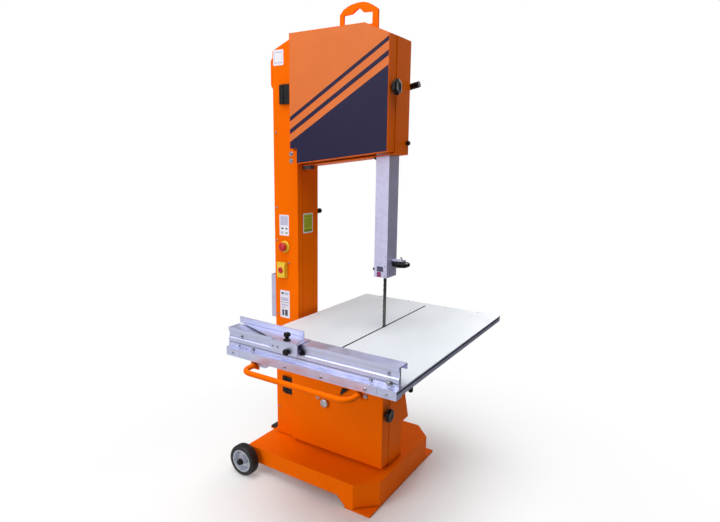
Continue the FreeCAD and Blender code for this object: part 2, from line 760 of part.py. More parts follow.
def make_belt():
    """Flat drive belt: two tangent runs and an arc round each pulley."""
    thick = 4
    slack = 0.4
    apart_x = float(d.wheel_x) - float(d.motor_x)
    apart_z = float(d.lower_axis) - float(d.motor_z)
    apart = math.hypot(apart_x, apart_z)
    lean = math.atan2(apart_z, apart_x)
    big = float(d.drive_pulley_radius) + slack
    small = float(d.motor_pulley_radius) + slack
    spread = math.acos((small - big) / apart)

    def at(centre, radius, angle):
        return FreeCAD.Vector(centre[0] + radius * math.cos(angle), float(d.body_back) + 7,
                              centre[1] + radius * math.sin(angle))

    def loop(extra):
        motor = (float(d.motor_x), float(d.motor_z))
        wheel = (float(d.wheel_x), float(d.lower_axis))
        upper = lean + spread
        lower = lean - spread
        points = [at(motor, small + extra, upper), at(wheel, big + extra, upper),
                  at(wheel, big + extra, lean), at(wheel, big + extra, lower),
                  at(motor, small + extra, lower), at(motor, small + extra, lean + math.pi)]
        edges = [Part.LineSegment(points[0], points[1]).toShape(), Part.Arc(*points[1:4]).toShape(),
                 Part.LineSegment(points[3], points[4]).toShape(),
                 Part.Arc(points[4], points[5], points[0]).toShape()]
        return Part.Face(Part.Wire(edges))

    belt = DOC.addObject("Part::Feature", "drive_belt")
    depth = FreeCAD.Vector(0, 14, 0)
    belt.Shape = loop(thick).extrude(depth).cut(loop(0).extrude(depth))
    belt.Placement = FreeCAD.Placement()
    node(belt, "drive_belt")


def make_belt_guard():
    """Sheet cover over the belt on the back of the lower housing."""
    body = new_body("belt_guard")
    depth = (d.body_back, d.body_back + 30)

    def outline(inset):
        left = d.motor_x - 52 + inset
        right = d.wheel_x + 80 - inset
        low = d.motor_z - 50 + inset
        high = d.lower_axis + 84 - inset
        return [
            (left, low), (d.motor_x + 62 - inset, low), (right, d.lower_axis - 40 + inset),
            (right, high), (d.wheel_x - 60 + inset, high), (left, d.motor_z + 70 - inset),
        ]

    pad(body, "XZ", depth, outline(0))
    pocket(body, "XZ", (d.body_back, d.body_back + 28), outline(2))
    pocket(body, "XZ", (d.body_back + 20, d.body_back + 31), (d.motor_x, d.motor_z, 16))


def make_rear_hood():
    """Sloping sawdust hood on the back, over the outlet of the lower housing."""
    body = new_body("rear_hood")
    span = (-112, d.lower_right - 1)
    back = d.body_back
    pad(body, "YZ", span, [(back, 269), (back + 66, 269), (back, 488)])
    pocket(body, "YZ", (span[0] + 3, span[1] - 3), [(back, 268), (back + 62, 268), (back, 476)])


# ---------------------------------------------------------------- controls

def make_e_stop():
    """Emergency stop: a round collar and the mushroom button that passes through it."""
    x, z = E_STOP
    centre = (x, d.strip_front, z)
    collar = new_body("e_stop_collar")
    turned(collar, "Y", centre, [(-6, 11.4), (0, 11.4), (0, 26), (-3, 26), (-6, 23.5)])
    button = new_body("e_stop_button")
    turned(button, "Y", centre, [
        (-1, 0), (-1, 11), (-14, 11), (-14, 20), (-20, 20), (-24, 16), (-26, 9), (-26, 0),
    ])


def make_switch():
    """Guarded switch: base with two ears, hinged flap, stop pad in the flap, start button behind it."""
    x, z = SWITCH
    front = d.strip_front
    half = 23.5
    ear = 2
    flap_half = half - ear - d.gap
    pivot = (front - 13, z + 30)
    base = block("switch_base", (x - half, x + half), (front - 7, front), (z - 35, z + 35))
    well = rod("switch_well", "Y", (x, front - 8, z), 12, 6.2)
    ears = [block("switch_ear", (low, low + ear), (front - 17, front - 6), (z + 26, z + 35))
            for low in (x - half, x + half - ear)]
    pins = [rod("switch_pin", "X", (low, *pivot), 1.5, 5) for low in (x - half, x + half - 5)]
    node(fused("switch_box", without("switch_body", base, well), *ears, *pins), "switch_box")
    flap = new_body("switch_flap")
    pad(flap, "XZ", (front - 17.5, front - 9), rect((x - flap_half, x + flap_half), (z - 33, z + 33.5)))
    hollow = rect((x - flap_half + 4, x + flap_half - 4), (z - 30, z + 25))
    pocket(flap, "XZ", (front - 15, front - 9), hollow)
    pocket(flap, "XZ", (front - 18.5, front - 14), (x, z, 14.3))
    pocket(flap, "YZ", (x - half, x + half), (*pivot, 1.55))
    stop_pad = new_body("stop_pad")
    turned(stop_pad, "Y", (x, front, z), [(-15.5, 0), (-15.5, 14), (-19.5, 14), (-22, 10), (-22, 0)])
    start = new_body("start_button")
    turned(start, "Y", (x, front, z), [(-4.5, 0), (-4.5, 9), (-10, 9), (-11, 8), (-11, 0)])


def make_cover_screws():
    """Pan-head screws on the front of the column cover."""
    spots = [(-419, 1410), (-419, 1381), (-501, 1036), (-436, 1036), (-501, 700), (-399, 700), (-399, 1180)]
    heads = [rod("cover_screw", "Y", (x, d.strip_front - 4, z), 6 if z > 1300 else 4, 4) for x, z in spots]
    node(grouped("cover_screws", *heads), "cover_screws")


def make_rear_ball_lever():
    """Ball-ended latch lever on the back of the column."""
    y = d.body_back + 15.5
    hub = rod("latch_hub", "Y", (-440, d.body_back + d.gap, 1120), 16, 21)
    arm = DOC.addObject("Part::Cylinder", "latch_arm")
    arm.Radius = 5
    arm.Height = 60
    spin = FreeCAD.Rotation(AXES["Y"], math.degrees(math.atan2(52, 42)))
    arm.Placement = FreeCAD.Placement(FreeCAD.Vector(-440, float(y), 1120), spin)
    knob = ball("latch_ball", (-388, y, 1162), 11.5)
    node(fused("rear_ball_lever", hub, arm, knob), "rear_ball_lever")


# ---------------------------------------------------------------- guide post

def make_guide_post():
    """Channel-section post that carries the upper blade guide, open towards the wheel."""
    body = new_body("guide_post")
    height = (d.post_low, d.post_high)
    wall = d.skin
    pad(body, "XY", height, rect((d.post_left, d.post_right), (d.post_front, d.post_back)))
    inside = (d.post_front + wall, d.post_back - wall)
    pocket(body, "XY", height, rect((d.post_left, d.post_right - wall), inside))


def guide_unit(name, x_span, y_span, seat_span, level):
    """A slotted seat with two side rollers and a thrust roller round the band, all on pins."""
    side_radius, thrust_radius, pin_radius, fit = 11, 9.5, 4, 0.05
    width = 9
    reach = 0.9 + side_radius
    thrust_y = d.band_half + 0.6 + thrust_radius
    seat = block(f"{name}_seat", x_span, y_span, seat_span)
    through = (dim(seat_span[0]) - 1, dim(seat_span[1]) + 1)
    slot = block(f"{name}_slot", (-5, 5), (dim(y_span[0]) - 1, 16), through)
    above = float(seat_span[0]) > float(level)
    cheek_z = (dim(level) - 6, seat_span[0]) if above else (seat_span[1], dim(level) + 6)
    solid = [without(f"{name}_body", seat, slot)]
    rollers = []
    for side in (-1, 1):
        solid.append(block(f"{name}_cheek", sorted((side * 6, side * 22)), (3, 8), cheek_z))
        solid.append(rod(f"{name}_pin", "Y", (side * reach, -width, level), pin_radius, width + 4))
        roller = rod(f"{name}_side", "Y", (side * reach, -width, level), side_radius, width)
        bore = rod(f"{name}_bore", "Y", (side * reach, -width - 1, level), pin_radius + fit, width + 2)
        rollers.append(without(f"{name}_side_roller", roller, bore))
    solid.append(block(f"{name}_rear_cheek", (5.5, 12), (thrust_y - 5, thrust_y + 5), cheek_z))
    solid.append(rod(f"{name}_thrust_pin", "X", (-width * 0.5, thrust_y, level), pin_radius, width + 6))
    roller = rod(f"{name}_thrust", "X", (-width * 0.5, thrust_y, level), thrust_radius, width)
    bore = rod(f"{name}_thrust_bore", "X", (-width, thrust_y, level), pin_radius + fit, width * 2)
    rollers.append(without(f"{name}_thrust_roller", roller, bore))
    return [fused(f"{name}_frame", *solid), *rollers]


def make_upper_blade_guide():
    """Guide unit in the foot of the post, and the knob's bracket."""
    wall = d.skin
    low = d.post_low
    inside = (d.post_left + 2, d.post_right - wall), (d.post_front + wall, d.post_back - wall)
    unit = guide_unit("upper_guide", *inside, (low + 30, low + 52), low + 16)
    leg = block("bracket_leg", (d.post_right, d.post_right + 4), (-14, 14), (low + 4, low + 73))
    shelf = block("bracket_shelf", (d.post_right, d.post_right + 56), (-14, 14), (low + 69, low + 73))
    bracket = fused("knob_bracket", leg, shelf)
    node(grouped("upper_blade_guide", *unit, bracket), "upper_blade_guide")


def make_lower_blade_guide():
    """Guide unit on top of the lower housing, under the table."""
    low = d.lower_top
    unit = guide_unit("lower_guide", (-26, 26), (-22, 34), (low, low + 12), low + 26)
    node(grouped("lower_blade_guide", *unit), "lower_blade_guide")


# ---------------------------------------------------------------- table

def make_rail_supports():
    """Cross beams on the lower housing, roller carriers on their ends, and the rollers."""
    beams = []
    for y in (d.seam, d.body_back - 20):
        beams.append(block("cross_beam", (-d.runner_x + 26, d.runner_x - 26), (y, y + 20),
                           (d.lower_top, d.lower_top + 20)))
    carriers = []
    rollers = []
    reach = d.runner_x - 26
    for side in (-1, 1):
        plate_x = (-d.runner_x + 26, -d.runner_x + 34) if side < 0 else (reach - 8, reach)
        carriers.append(block("roller_carrier", plate_x, (-190, 190), (d.lower_top + 20, d.lower_top + 56)))
        for y in (-170, -60, 60, 170):
            start = -d.runner_x + 2 if side < 0 else reach
            rollers.append(rod("table_roller", "X", (start, y, d.runner_top - 17.5), d.roller_radius, 24))
    node(grouped("rail_supports", *beams, *carriers, *rollers), "rail_supports")


def make_table_runners():
    """Channel runners that ride on the rollers, each hung from the table plate by a web."""
    runners = []
    ends = (d.table_front + 110, d.table_back - 30)
    past = (ends[0] - 1, ends[1] + 1)
    height = (d.runner_top - 35, d.runner_top)
    inner = d.runner_x - 25
    outer = d.runner_x + 4
    for side in (-1, 1):
        shell_x = (-outer, -inner) if side < 0 else (inner, outer)
        hollow_x = (-outer + 3.5, -inner + 1) if side < 0 else (inner - 1, outer - 3.5)
        web_x = (-outer, -outer + 8) if side < 0 else (outer - 8, outer)
        shell = block("runner_shell", shell_x, ends, height)
        hollow = block("runner_hollow", hollow_x, past, (height[0] + 4, height[1] - 4))
        web = block("runner_web", web_x, ends, (d.runner_top - 4, d.table_top - 8))
        channel = without(f"runner_{len(runners)}", shell, hollow)
        runners.append(fused(f"hung_runner_{len(runners)}", channel, web))
    node(grouped("table_runners", *runners), "table_runners")


def make_table_top():
    """Table plate with the saw slot, thinned along both sides to lie on the side rails."""
    body = new_body("table_top")
    front = d.table_front + 35
    back = d.table_back - 22
    pad(body, "XY", (d.table_top - 8, d.table_top), rect((d.table_left, d.table_right), (front, back)))
    for side in ((d.table_left - 1, d.table_left + 30), (d.table_right - 30, d.table_right + 1)):
        pocket(body, "XY", (d.table_top - 9, d.table_top - 3), rect(side, (front - 1, back + 1)))
    saw_slot = rect((-d.slot_half, d.slot_half), (d.slot_near, d.slot_far))
    pocket(body, "XY", (d.table_top - 9, d.table_top + 1), saw_slot)


def make_table_edges():
    """Rear strip, side rails and front bar in three lengths; each side has a slot, open at the rear."""
    across = (d.table_left, d.table_right)
    slot_height = (d.table_top - 12, d.table_top - 5.5)
    slot_depth = 9
    left_slot = (d.table_left - 1, d.table_left + slot_depth)
    right_slot = (d.table_right - slot_depth, d.table_right + 1)
    slot_run = (d.table_front + 3, d.table_back + 1)
    rear = new_body("table_rear_strip")
    pad(rear, "XY", (d.rail_low, d.table_top), rect(across, (d.table_back - 22, d.table_back)))
    for span in (left_slot, right_slot):
        pocket(rear, "XY", slot_height, rect(span, (d.table_back - 23, d.table_back + 1)))
    along = (d.table_front + 35, d.table_back - 22)
    sides = ((d.table_left, d.table_left + 30), (d.table_right - 30, d.table_right))
    rails = []
    for x, span in zip(sides, (left_slot, right_slot)):
        rail = block("side_rail", x, along, (d.rail_low, d.table_top - 3))
        rails.append(without(f"rail_{len(rails)}", rail, block("side_slot", span, slot_run, slot_height)))
    node(grouped("table_side_rails", *rails), "table_side_rails")
    joint = 0.3
    depth = (d.table_front, d.table_front + 35)
    height = (d.table_low, d.table_top)
    left = block("front_bar_left", (d.table_left, -293 - joint), depth, height)
    middle = block("front_bar_middle", (-293 + joint, 283 - joint), depth, height)
    right = block("front_bar_right", (283 + joint, d.table_right), depth, height)
    ends = [without(f"bar_end_{number}", bar, block("end_slot", span, slot_run, slot_height))
            for number, (bar, span) in enumerate(((left, left_slot), (right, right_slot)))]
    node(grouped("table_front_bar", *ends, middle), "table_front_bar")


def make_fence():
    """Fence extrusion: grooved web with a long slot, top flange with a lip, and a foot flange."""
    body = new_body("fence")
    front = d.fence_front
    low = d.table_top
    top = d.fence_top
    section = [
        (front, low), (front + 28, low), (front + 28, low + 4), (front + 14, low + 4), (front + 14, top - 4),
        (front + 51, top - 4), (front + 51, top - 20), (front + 54, top - 20), (front + 54, top),
        (front, top), (front, top - 13), (front + 5, top - 15), (front + 5, low + 38),
        (front + 1.5, low + 36.5), (front, low + 33), (front, low + 20),
        (front + 3, low + 19), (front + 3, low + 17), (front, low + 16),
    ]
    pad(body, "YZ", (d.fence_left, d.fence_right), section)
    depth = (front - 1, front + 4)
    slot_left, slot_right, slot_radius = -304.5, 334.5, 5.5
    middle = low + 8.5
    pocket(body, "XZ", depth, rect((slot_left, slot_right), (middle - slot_radius, middle + slot_radius)))
    for end in (slot_left, slot_right):
        pocket(body, "XZ", depth, (end, middle, slot_radius))


def make_mitre_stop():
    """Carriage on the fence, the swinging arm, and the two clamp knobs."""
    top = d.fence_top
    front = d.fence_front - 24
    right = -19
    plate = block("carriage_top", (-135, right), (front, d.fence_front + 48), (top + d.gap, top + 4))
    apron = block("carriage_apron", (-135, right), (front, front + 4), (top - 39, top + 4))
    slider = block("carriage_slider", (-135, right), (front, d.fence_front - 0.4), (top - 32, top - 20))
    stud = rod("mitre_stud", "Z", (d.mitre_x, d.mitre_y, top + 3), 5, 9)
    node(fused("mitre_carriage", plate, apron, slider, stud), "mitre_carriage")
    arm = new_body("mitre_arm")
    low = top + 4 + d.gap
    pad(arm, "XY", (low, low + 3), [(-356, -469), (-110, -554), (-22, -554), (-44, -480)])
    pad(arm, "XY", (low, low + 24), [(-356, -469), (-356, -473), (-44, -484), (-44, -480)])
    pocket(arm, "XY", (low - 1, low + 4), (d.mitre_x, d.mitre_y, 5.05))
    knob = new_body("mitre_knob")
    turned(knob, "Z", (d.mitre_x, d.mitre_y, low), [
        (5, 0), (5, 13), (7, 13), (10, 6.5), (16, 6.5), (19, 12.5), (28, 12.5), (31, 8), (31, 0),
    ])
    pocket(knob, "XY", (low + 4, low + 9), (d.mitre_x, d.mitre_y, 5.05))
    make_star_knob("carriage_knob", "Y", (-60, front - d.gap, top - 26), (7, -4, 12, -11))


def make_push_handle():
    """Bent push bar in front of the table with its two tabs under the front bar."""
    y_tab = d.table_front + 16
    y_bar = -600
    level = 657
    left, right = -229, 215
    route = [(left, y_tab, level), (left, y_bar, level), (right, y_bar, level), (right, y_tab, level)]
    bar = tube_along("push_bar", route, 9.5, 38)
    tabs = [block("push_tab", (low, low + 36), (y_tab - 4, y_tab + 2), (level - 16, d.table_low))
            for low in (left - 22, right - 8)]
    node(fused("push_handle", bar, *tabs), "push_handle")


# ---------------------------------------------------------------- build, check, export

def build():
    """Make every sub-part."""
    make_base_deck()
    make_foot_plate()
    make_tilt_step()
    make_transport_axle()
    make_roll("front", d.front_roll_y, 1)
    make_roll("rear", d.rear_roll_y, -1)
    make_lower_casing()
    make_column_channel()
    make_upper_casing()
    make_column_cover()
    make_lifting_eye()
    make_transport_handle()
    make_side_bracket()
    make_fixed_hinge_leaves()
    make_moving_hinge_leaf("upper_hinge_leaf", d.upper_hinge_low)
    make_moving_hinge_leaf("lower_hinge_leaf", d.lower_hinge_low)
    make_upper_door()
    make_lower_door()
    make_lower_door_cap()
    make_star_knob("upper_door_knob", "X", (d.head_right - 2 + d.gap, -83, 1653), (10, 12, 30, 16))
    make_star_knob("lower_door_knob", "X", (d.lower_right - 1.5 + d.gap, -83, 361), (10, 10, 30, 16))
    make_blade()
    make_band_wheel("upper_band_wheel", d.upper_axis, d.shaft_radius + 0.05)
    make_band_wheel("lower_band_wheel", d.lower_axis, d.shaft_radius)
    make_tension_carriage()
    make_tension_lever()
    make_drive()
    make_belt_guard()
    make_rear_hood()
    make_e_stop()
    make_switch()
    make_cover_screws()
    make_rear_ball_lever()
    make_guide_post()
    make_upper_blade_guide()
    make_lower_blade_guide()
    make_star_knob("guide_knob", "Z", (d.post_right + 42, 0, d.post_low + 68), (9, -3, 36, -20))
    make_rail_supports()
    make_table_runners()
    make_table_top()
    make_table_edges()
    make_fence()
    make_mitre_stop()
    make_push_handle()


def check():
    """Stop if any feature failed, any pocket cut nothing, or any sub-part isn't a valid solid."""
    faults = []
    for thing in DOC.Objects:
        if {"Invalid", "Error"} & set(thing.State):
            faults.append(f"{thing.Name}: {thing.State}")
        if thing.TypeId == "PartDesign::Pocket" and thing.BaseFeature is not None:
            if thing.BaseFeature.Shape.Volume - thing.Shape.Volume < 1:
                faults.append(f"{thing.Name}: cuts nothing")
    for thing in NODES:
        shape = thing.Shape
        if shape.isNull() or not shape.isValid() or not shape.Solids:
            faults.append(f"{thing.Label}: not a valid solid")
    if faults:
        raise RuntimeError("\n".join(faults))


def export():
    """Write one STEP file for each sub-part."""
    os.makedirs("parts", exist_ok=True)
    for thing in NODES:
        thing.Shape.exportStep(f"parts/{thing.Label}.step")


build()
DOC.recompute()
check()
export()
print(len(NODES), "sub-parts written")
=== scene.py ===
"""Looks of the block band saw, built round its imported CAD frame.

Shapes are written in millimetres in the frame's axes and turned into metres when their mesh is made.
Where a CAD node carries a shape, its place is worked out from the node's box.
"""

import json
import math

import bmesh
import bpy
from mathutils import Matrix, Vector


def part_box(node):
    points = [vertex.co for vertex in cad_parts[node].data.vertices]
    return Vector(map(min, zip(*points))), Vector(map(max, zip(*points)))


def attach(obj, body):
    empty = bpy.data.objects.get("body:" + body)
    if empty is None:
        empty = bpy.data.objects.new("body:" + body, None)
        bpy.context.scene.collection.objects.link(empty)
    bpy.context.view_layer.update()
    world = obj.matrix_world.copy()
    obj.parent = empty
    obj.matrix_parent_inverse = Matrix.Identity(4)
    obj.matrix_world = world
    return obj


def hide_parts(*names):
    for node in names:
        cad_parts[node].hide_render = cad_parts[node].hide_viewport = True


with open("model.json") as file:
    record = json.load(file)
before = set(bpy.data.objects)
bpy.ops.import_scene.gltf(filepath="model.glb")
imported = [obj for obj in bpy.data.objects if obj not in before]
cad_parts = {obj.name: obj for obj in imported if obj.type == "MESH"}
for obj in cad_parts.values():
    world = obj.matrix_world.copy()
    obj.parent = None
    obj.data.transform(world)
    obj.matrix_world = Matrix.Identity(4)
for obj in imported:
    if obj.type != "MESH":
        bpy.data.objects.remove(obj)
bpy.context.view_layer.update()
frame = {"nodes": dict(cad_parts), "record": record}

MM = 0.001
# For each axis: two directions across it, then the axis itself.
AXES = {
    "X": (Vector((0, 1, 0)), Vector((0, 0, 1)), Vector((1, 0, 0))),
    "Y": (Vector((0, 0, 1)), Vector((1, 0, 0)), Vector((0, 1, 0))),
    "Z": (Vector((1, 0, 0)), Vector((0, 1, 0)), Vector((0, 0, 1))),
}


# ---------------------------------------------------------------- places on the CAD frame

def lowest(node):
    """Low corner of a CAD node's box, in millimetres."""
    return Vector([round(value / MM, 2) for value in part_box(node)[0]])


def highest(node):
    """High corner of a CAD node's box, in millimetres."""
    return Vector([round(value / MM, 2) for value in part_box(node)[1]])


def middle(node):
    """Middle of a CAD node's box, in millimetres."""
    return Vector([round(value, 1) for value in (lowest(node) + highest(node)) / 2])


def seat(node, axis, facing):
    """Middle of the face a knob sits on, for a knob that points along the axis, facing 1 or -1."""
    place = middle(node)
    across = "XYZ".index(axis)
    place[across] = (lowest(node) if facing > 0 else highest(node))[across]
    return place


FRAME_BODY = "machine_frame"
# Places of the housings, the band wheels, the table and the motor, in millimetres.
COVER_FRONT = lowest("column_cover").y
COLUMN_RIGHT = highest("column_channel").x
HOUSING_BACK = highest("column_channel").y
WHEEL_X = middle("upper_band_wheel").x
UPPER_AXIS = middle("upper_band_wheel").z
LOWER_AXIS = middle("lower_band_wheel").z
TABLE_TOP = highest("table_top").z
TABLE_LEFT = lowest("table_top").x
TABLE_RIGHT = highest("table_top").x
TABLE_FRONT = lowest("table_front_bar").y
TABLE_BACK = highest("table_rear_strip").y
FENCE_FRONT = lowest("fence").y
FENCE_WEB = FENCE_FRONT + 5
MOTOR = middle("motor_pulley")
MOTOR_FRONT = lowest("drive_motor").y
MOTOR_BACK = highest("drive_motor").y
MOTOR_TOP = highest("drive_motor").z


# ---------------------------------------------------------------- camera, light and floor

# Places and sizes in metres, angles in degrees, lens and sensor in millimetres.
CAMERA_PLACE = (1.0516, -1.8768, 1.380)
CAMERA_YAW = 32.038
CAMERA_PITCH = 10.486
CAMERA_ROLL = 0.839
LENS = 26.69
SENSOR = 36
# Each lamp's name, place, target, width and watts.
LAMPS = (
    ("key", (-1.9, -3.9, 2.9), (-0.1, -0.2, 1.0), 2.2, 53),
    ("top", (0.2, -0.8, 4.4), (0, 0, 0.8), 3.0, 122),
    ("low", (-0.6, -3.6, 1.2), (-0.2, 0, 0.1), 1.6, 22),
    ("right", (3.6, -0.6, 1.9), (0, 0, 0.9), 2.0, 6.5),
    ("back", (0.1, 3.8, 2.6), (0, 0, 1.0), 2.4, 60),
)
FLOOR_RADIUS = 40
FLOOR_DROP = 0.0005
FADE_START = 0.3
FADE_END = 1.4
# Strength of the white light from the left and from the right.
WORLD_STRENGTH = (0.42, 0.05)
FLOOR_STRENGTH = (0.6, 0.12)


def make_camera():
    """The camera stands 1.38 m high, in front of the saw and to its right, and looks down a little."""
    camera = bpy.data.objects.new("camera", bpy.data.cameras.new("camera"))
    camera.data.sensor_width = SENSOR
    camera.data.lens = LENS
    turn = Matrix.Rotation(math.radians(CAMERA_YAW), 4, "Z")
    turn = turn @ Matrix.Rotation(math.radians(90 - CAMERA_PITCH), 4, "X")
    turn = turn @ Matrix.Rotation(math.radians(CAMERA_ROLL), 4, "Z")
    camera.matrix_world = Matrix.Translation(CAMERA_PLACE) @ turn
    bpy.context.scene.collection.objects.link(camera)
    bpy.context.scene.camera = camera


def dimmed_to_the_right(material, place, left, right):
    """A light's strength: 1 where the camera looks, else falling from left to right along X."""
    nodes, links = material.node_tree.nodes, material.node_tree.links
    split = nodes.new("ShaderNodeSeparateXYZ")
    links.new(place, split.inputs["Vector"])
    fall = nodes.new("ShaderNodeMapRange")
    fall.inputs["From Min"].default_value = -1.0
    fall.inputs["From Max"].default_value = 1.0
    fall.inputs["To Min"].default_value = left
    fall.inputs["To Max"].default_value = right
    links.new(split.outputs["X"], fall.inputs["Value"])
    path = nodes.new("ShaderNodeLightPath")
    strength = nodes.new("ShaderNodeMapRange")
    strength.inputs["To Max"].default_value = 1.0
    links.new(fall.outputs["Result"], strength.inputs["To Min"])
    links.new(path.outputs["Is Camera Ray"], strength.inputs["Value"])
    return strength.outputs["Result"]


def make_world():
    """White surroundings: bright where the camera sees them, softer as light, with a dark right side."""
    world = bpy.data.worlds.new("studio")
    world.use_nodes = True
    bpy.context.scene.world = world
    nodes, links = world.node_tree.nodes, world.node_tree.links
    background = nodes["Background"]
    background.inputs["Color"].default_value = (1, 1, 1, 1)
    direction = nodes.new("ShaderNodeTexCoord").outputs["Generated"]
    strength = dimmed_to_the_right(world, direction, *WORLD_STRENGTH)
    links.new(strength, background.inputs["Strength"])


def make_lamp(name, place, target, size, watts):
    """A square soft box that looks at the target; sizes and places are in metres."""
    lamp = bpy.data.lights.new(name, "AREA")
    lamp.shape = "SQUARE"
    lamp.size = size
    lamp.energy = watts
    holder = bpy.data.objects.new(name, lamp)
    holder.location = place
    holder.rotation_mode = "QUATERNION"
    holder.rotation_quaternion = (Vector(target) - Vector(place)).to_track_quat("-Z", "Y")
    bpy.context.scene.collection.objects.link(holder)


def make_floor():
    """A pale round floor that fades to white far from the saw."""
    bm = bmesh.new()
    bmesh.ops.create_circle(bm, cap_ends=True, segments=96, radius=FLOOR_RADIUS)
    mesh = bpy.data.meshes.new("floor")
    bm.to_mesh(mesh)
    bm.free()
    floor = bpy.data.objects.new("floor", mesh)
    floor.location.z = -FLOOR_DROP
    bpy.context.scene.collection.objects.link(floor)
    material = bpy.data.materials.new("floor_pale")
    material.use_nodes = True
    nodes, links = material.node_tree.nodes, material.node_tree.links
    shader = nodes["Principled BSDF"]
    shader.inputs["Base Color"].default_value = (0.97, 0.97, 0.97, 1)
    shader.inputs["Roughness"].default_value = 0.6
    white = nodes.new("ShaderNodeEmission")
    place = nodes.new("ShaderNodeTexCoord")
    strength = dimmed_to_the_right(material, place.outputs["Object"], *FLOOR_STRENGTH)
    links.new(strength, white.inputs["Strength"])
    reach = nodes.new("ShaderNodeVectorMath")
    reach.operation = "LENGTH"
    fade = nodes.new("ShaderNodeMapRange")
    fade.inputs["From Min"].default_value = FADE_START
    fade.inputs["From Max"].default_value = FADE_END
    mix = nodes.new("ShaderNodeMixShader")
    links.new(place.outputs["Object"], reach.inputs[0])
    links.new(reach.outputs["Value"], fade.inputs["Value"])
    links.new(fade.outputs["Result"], mix.inputs["Fac"])
    links.new(shader.outputs["BSDF"], mix.inputs[1])
    links.new(white.outputs["Emission"], mix.inputs[2])
    links.new(mix.outputs["Shader"], nodes["Material Output"].inputs["Surface"])
    mesh.materials.append(material)


# ---------------------------------------------------------------- finishes

# Numbers of the mix node's colour sockets.
MIX_FIRST, MIX_SECOND, MIX_RESULT = 6, 7, 2


def srgb(red, green, blue):
    """A screen colour, 0 to 255, as the linear colour a shader takes."""
    parts = [c / 255 for c in (red, green, blue)]
    return [c / 12.92 if c <= 0.04045 else ((c + 0.055) / 1.055) ** 2.4 for c in parts]


def shade(colour, factor):
    """The colour made lighter or darker."""
    return [min(c * factor, 1.0) for c in colour]


class Finish:
    """A Principled material whose colour, roughness and relief vary over the surface."""

    def __init__(self, name, metallic=0.0, glare=0.5):
        self.material = bpy.data.materials.new(name)
        self.material.use_nodes = True
        self.nodes = self.material.node_tree.nodes
        self.links = self.material.node_tree.links
        self.shader = self.nodes["Principled BSDF"]
        self.shader.inputs["Metallic"].default_value = metallic
        self.shader.inputs["Specular IOR Level"].default_value = glare
        self.place = self.nodes.new("ShaderNodeTexCoord").outputs["Object"]

    def _stretched(self, stretch):
        mapping = self.nodes.new("ShaderNodeMapping")
        mapping.inputs["Scale"].default_value = stretch
        self.links.new(self.place, mapping.inputs["Vector"])
        return mapping.outputs["Vector"]

    def noise(self, scale, detail, stretch=(1, 1, 1)):
        """Cloudy noise, 0 to 1; scale is in cycles per metre."""
        texture = self.nodes.new("ShaderNodeTexNoise")
        texture.inputs["Scale"].default_value = scale
        texture.inputs["Detail"].default_value = detail
        self.links.new(self._stretched(stretch), texture.inputs["Vector"])
        return texture.outputs["Fac"]

    def cells(self, scale):
        """Random value per cell, 0 to 1."""
        texture = self.nodes.new("ShaderNodeTexVoronoi")
        texture.inputs["Scale"].default_value = scale
        self.links.new(self.place, texture.inputs["Vector"])
        split = self.nodes.new("ShaderNodeSeparateColor")
        self.links.new(texture.outputs["Color"], split.inputs["Color"])
        return split.outputs["Red"]

    def crevices(self, distance):
        """Ambient occlusion: 1 in the open, falling to 0 in corners and gaps; the mask for painted
        shade, and on rubber for dust.
        """
        reach = self.nodes.new("ShaderNodeAmbientOcclusion")
        reach.samples = 4
        reach.inputs["Distance"].default_value = distance
        return reach.outputs["AO"]

    def spread(self, value, low, high, start=0.3, end=0.7):
        """Maps start..end of a value to low..high."""
        node = self.nodes.new("ShaderNodeMapRange")
        node.inputs["From Min"].default_value = start
        node.inputs["From Max"].default_value = end
        node.inputs["To Min"].default_value = low
        node.inputs["To Max"].default_value = high
        self.links.new(value, node.inputs["Value"])
        return node.outputs["Result"]

    def mixed(self, factor, first, second):
        """Blends two colours, each a plain colour or an output."""
        node = self.nodes.new("ShaderNodeMix")
        node.data_type = "RGBA"
        self.links.new(factor, node.inputs["Factor"])
        for index, colour in ((MIX_FIRST, first), (MIX_SECOND, second)):
            if isinstance(colour, bpy.types.NodeSocket):
                self.links.new(colour, node.inputs[index])
            else:
                node.inputs[index].default_value = (*colour, 1)
        return node.outputs[MIX_RESULT]

    def colour(self, output):
        """Drives the base colour."""
        self.links.new(output, self.shader.inputs["Base Color"])

    def roughness(self, output):
        """Drives the roughness."""
        self.links.new(output, self.shader.inputs["Roughness"])

    def relief(self, height, depth, strength):
        """Adds a bump of the given depth in metres."""
        bump = self.nodes.new("ShaderNodeBump")
        bump.inputs["Distance"].default_value = depth
        bump.inputs["Strength"].default_value = strength
        self.links.new(height, bump.inputs["Height"])
        self.links.new(bump.outputs["Normal"], self.shader.inputs["Normal"])


def paint(name, colour, gloss=0.34):
    """Powder coat: soft orange peel, faint clouds, painted shade in the corners and small scuffs."""
    finish = Finish(name, glare=0.02)
    clouds = finish.spread(finish.noise(4, 3), 0, 1)
    body = finish.mixed(clouds, shade(colour, 0.95), shade(colour, 1.03))
    # Painted shade: the paint darkens to half its colour in corners and gaps.
    corners = finish.spread(finish.crevices(0.014), 0, 1, 0.35, 0.9)
    body = finish.mixed(corners, shade(colour, 0.5), body)
    scuffs = finish.spread(finish.noise(60, 4, (1, 1, 0.25)), 0, 0.3, 0.68, 0.76)
    finish.colour(finish.mixed(scuffs, body, [min(1, c * 1.08 + 0.03) for c in colour]))
    finish.roughness(finish.spread(finish.noise(14, 5), gloss - 0.05, gloss + 0.09))
    finish.relief(finish.noise(420, 1), 0.0001, 0.3)
    return finish.material


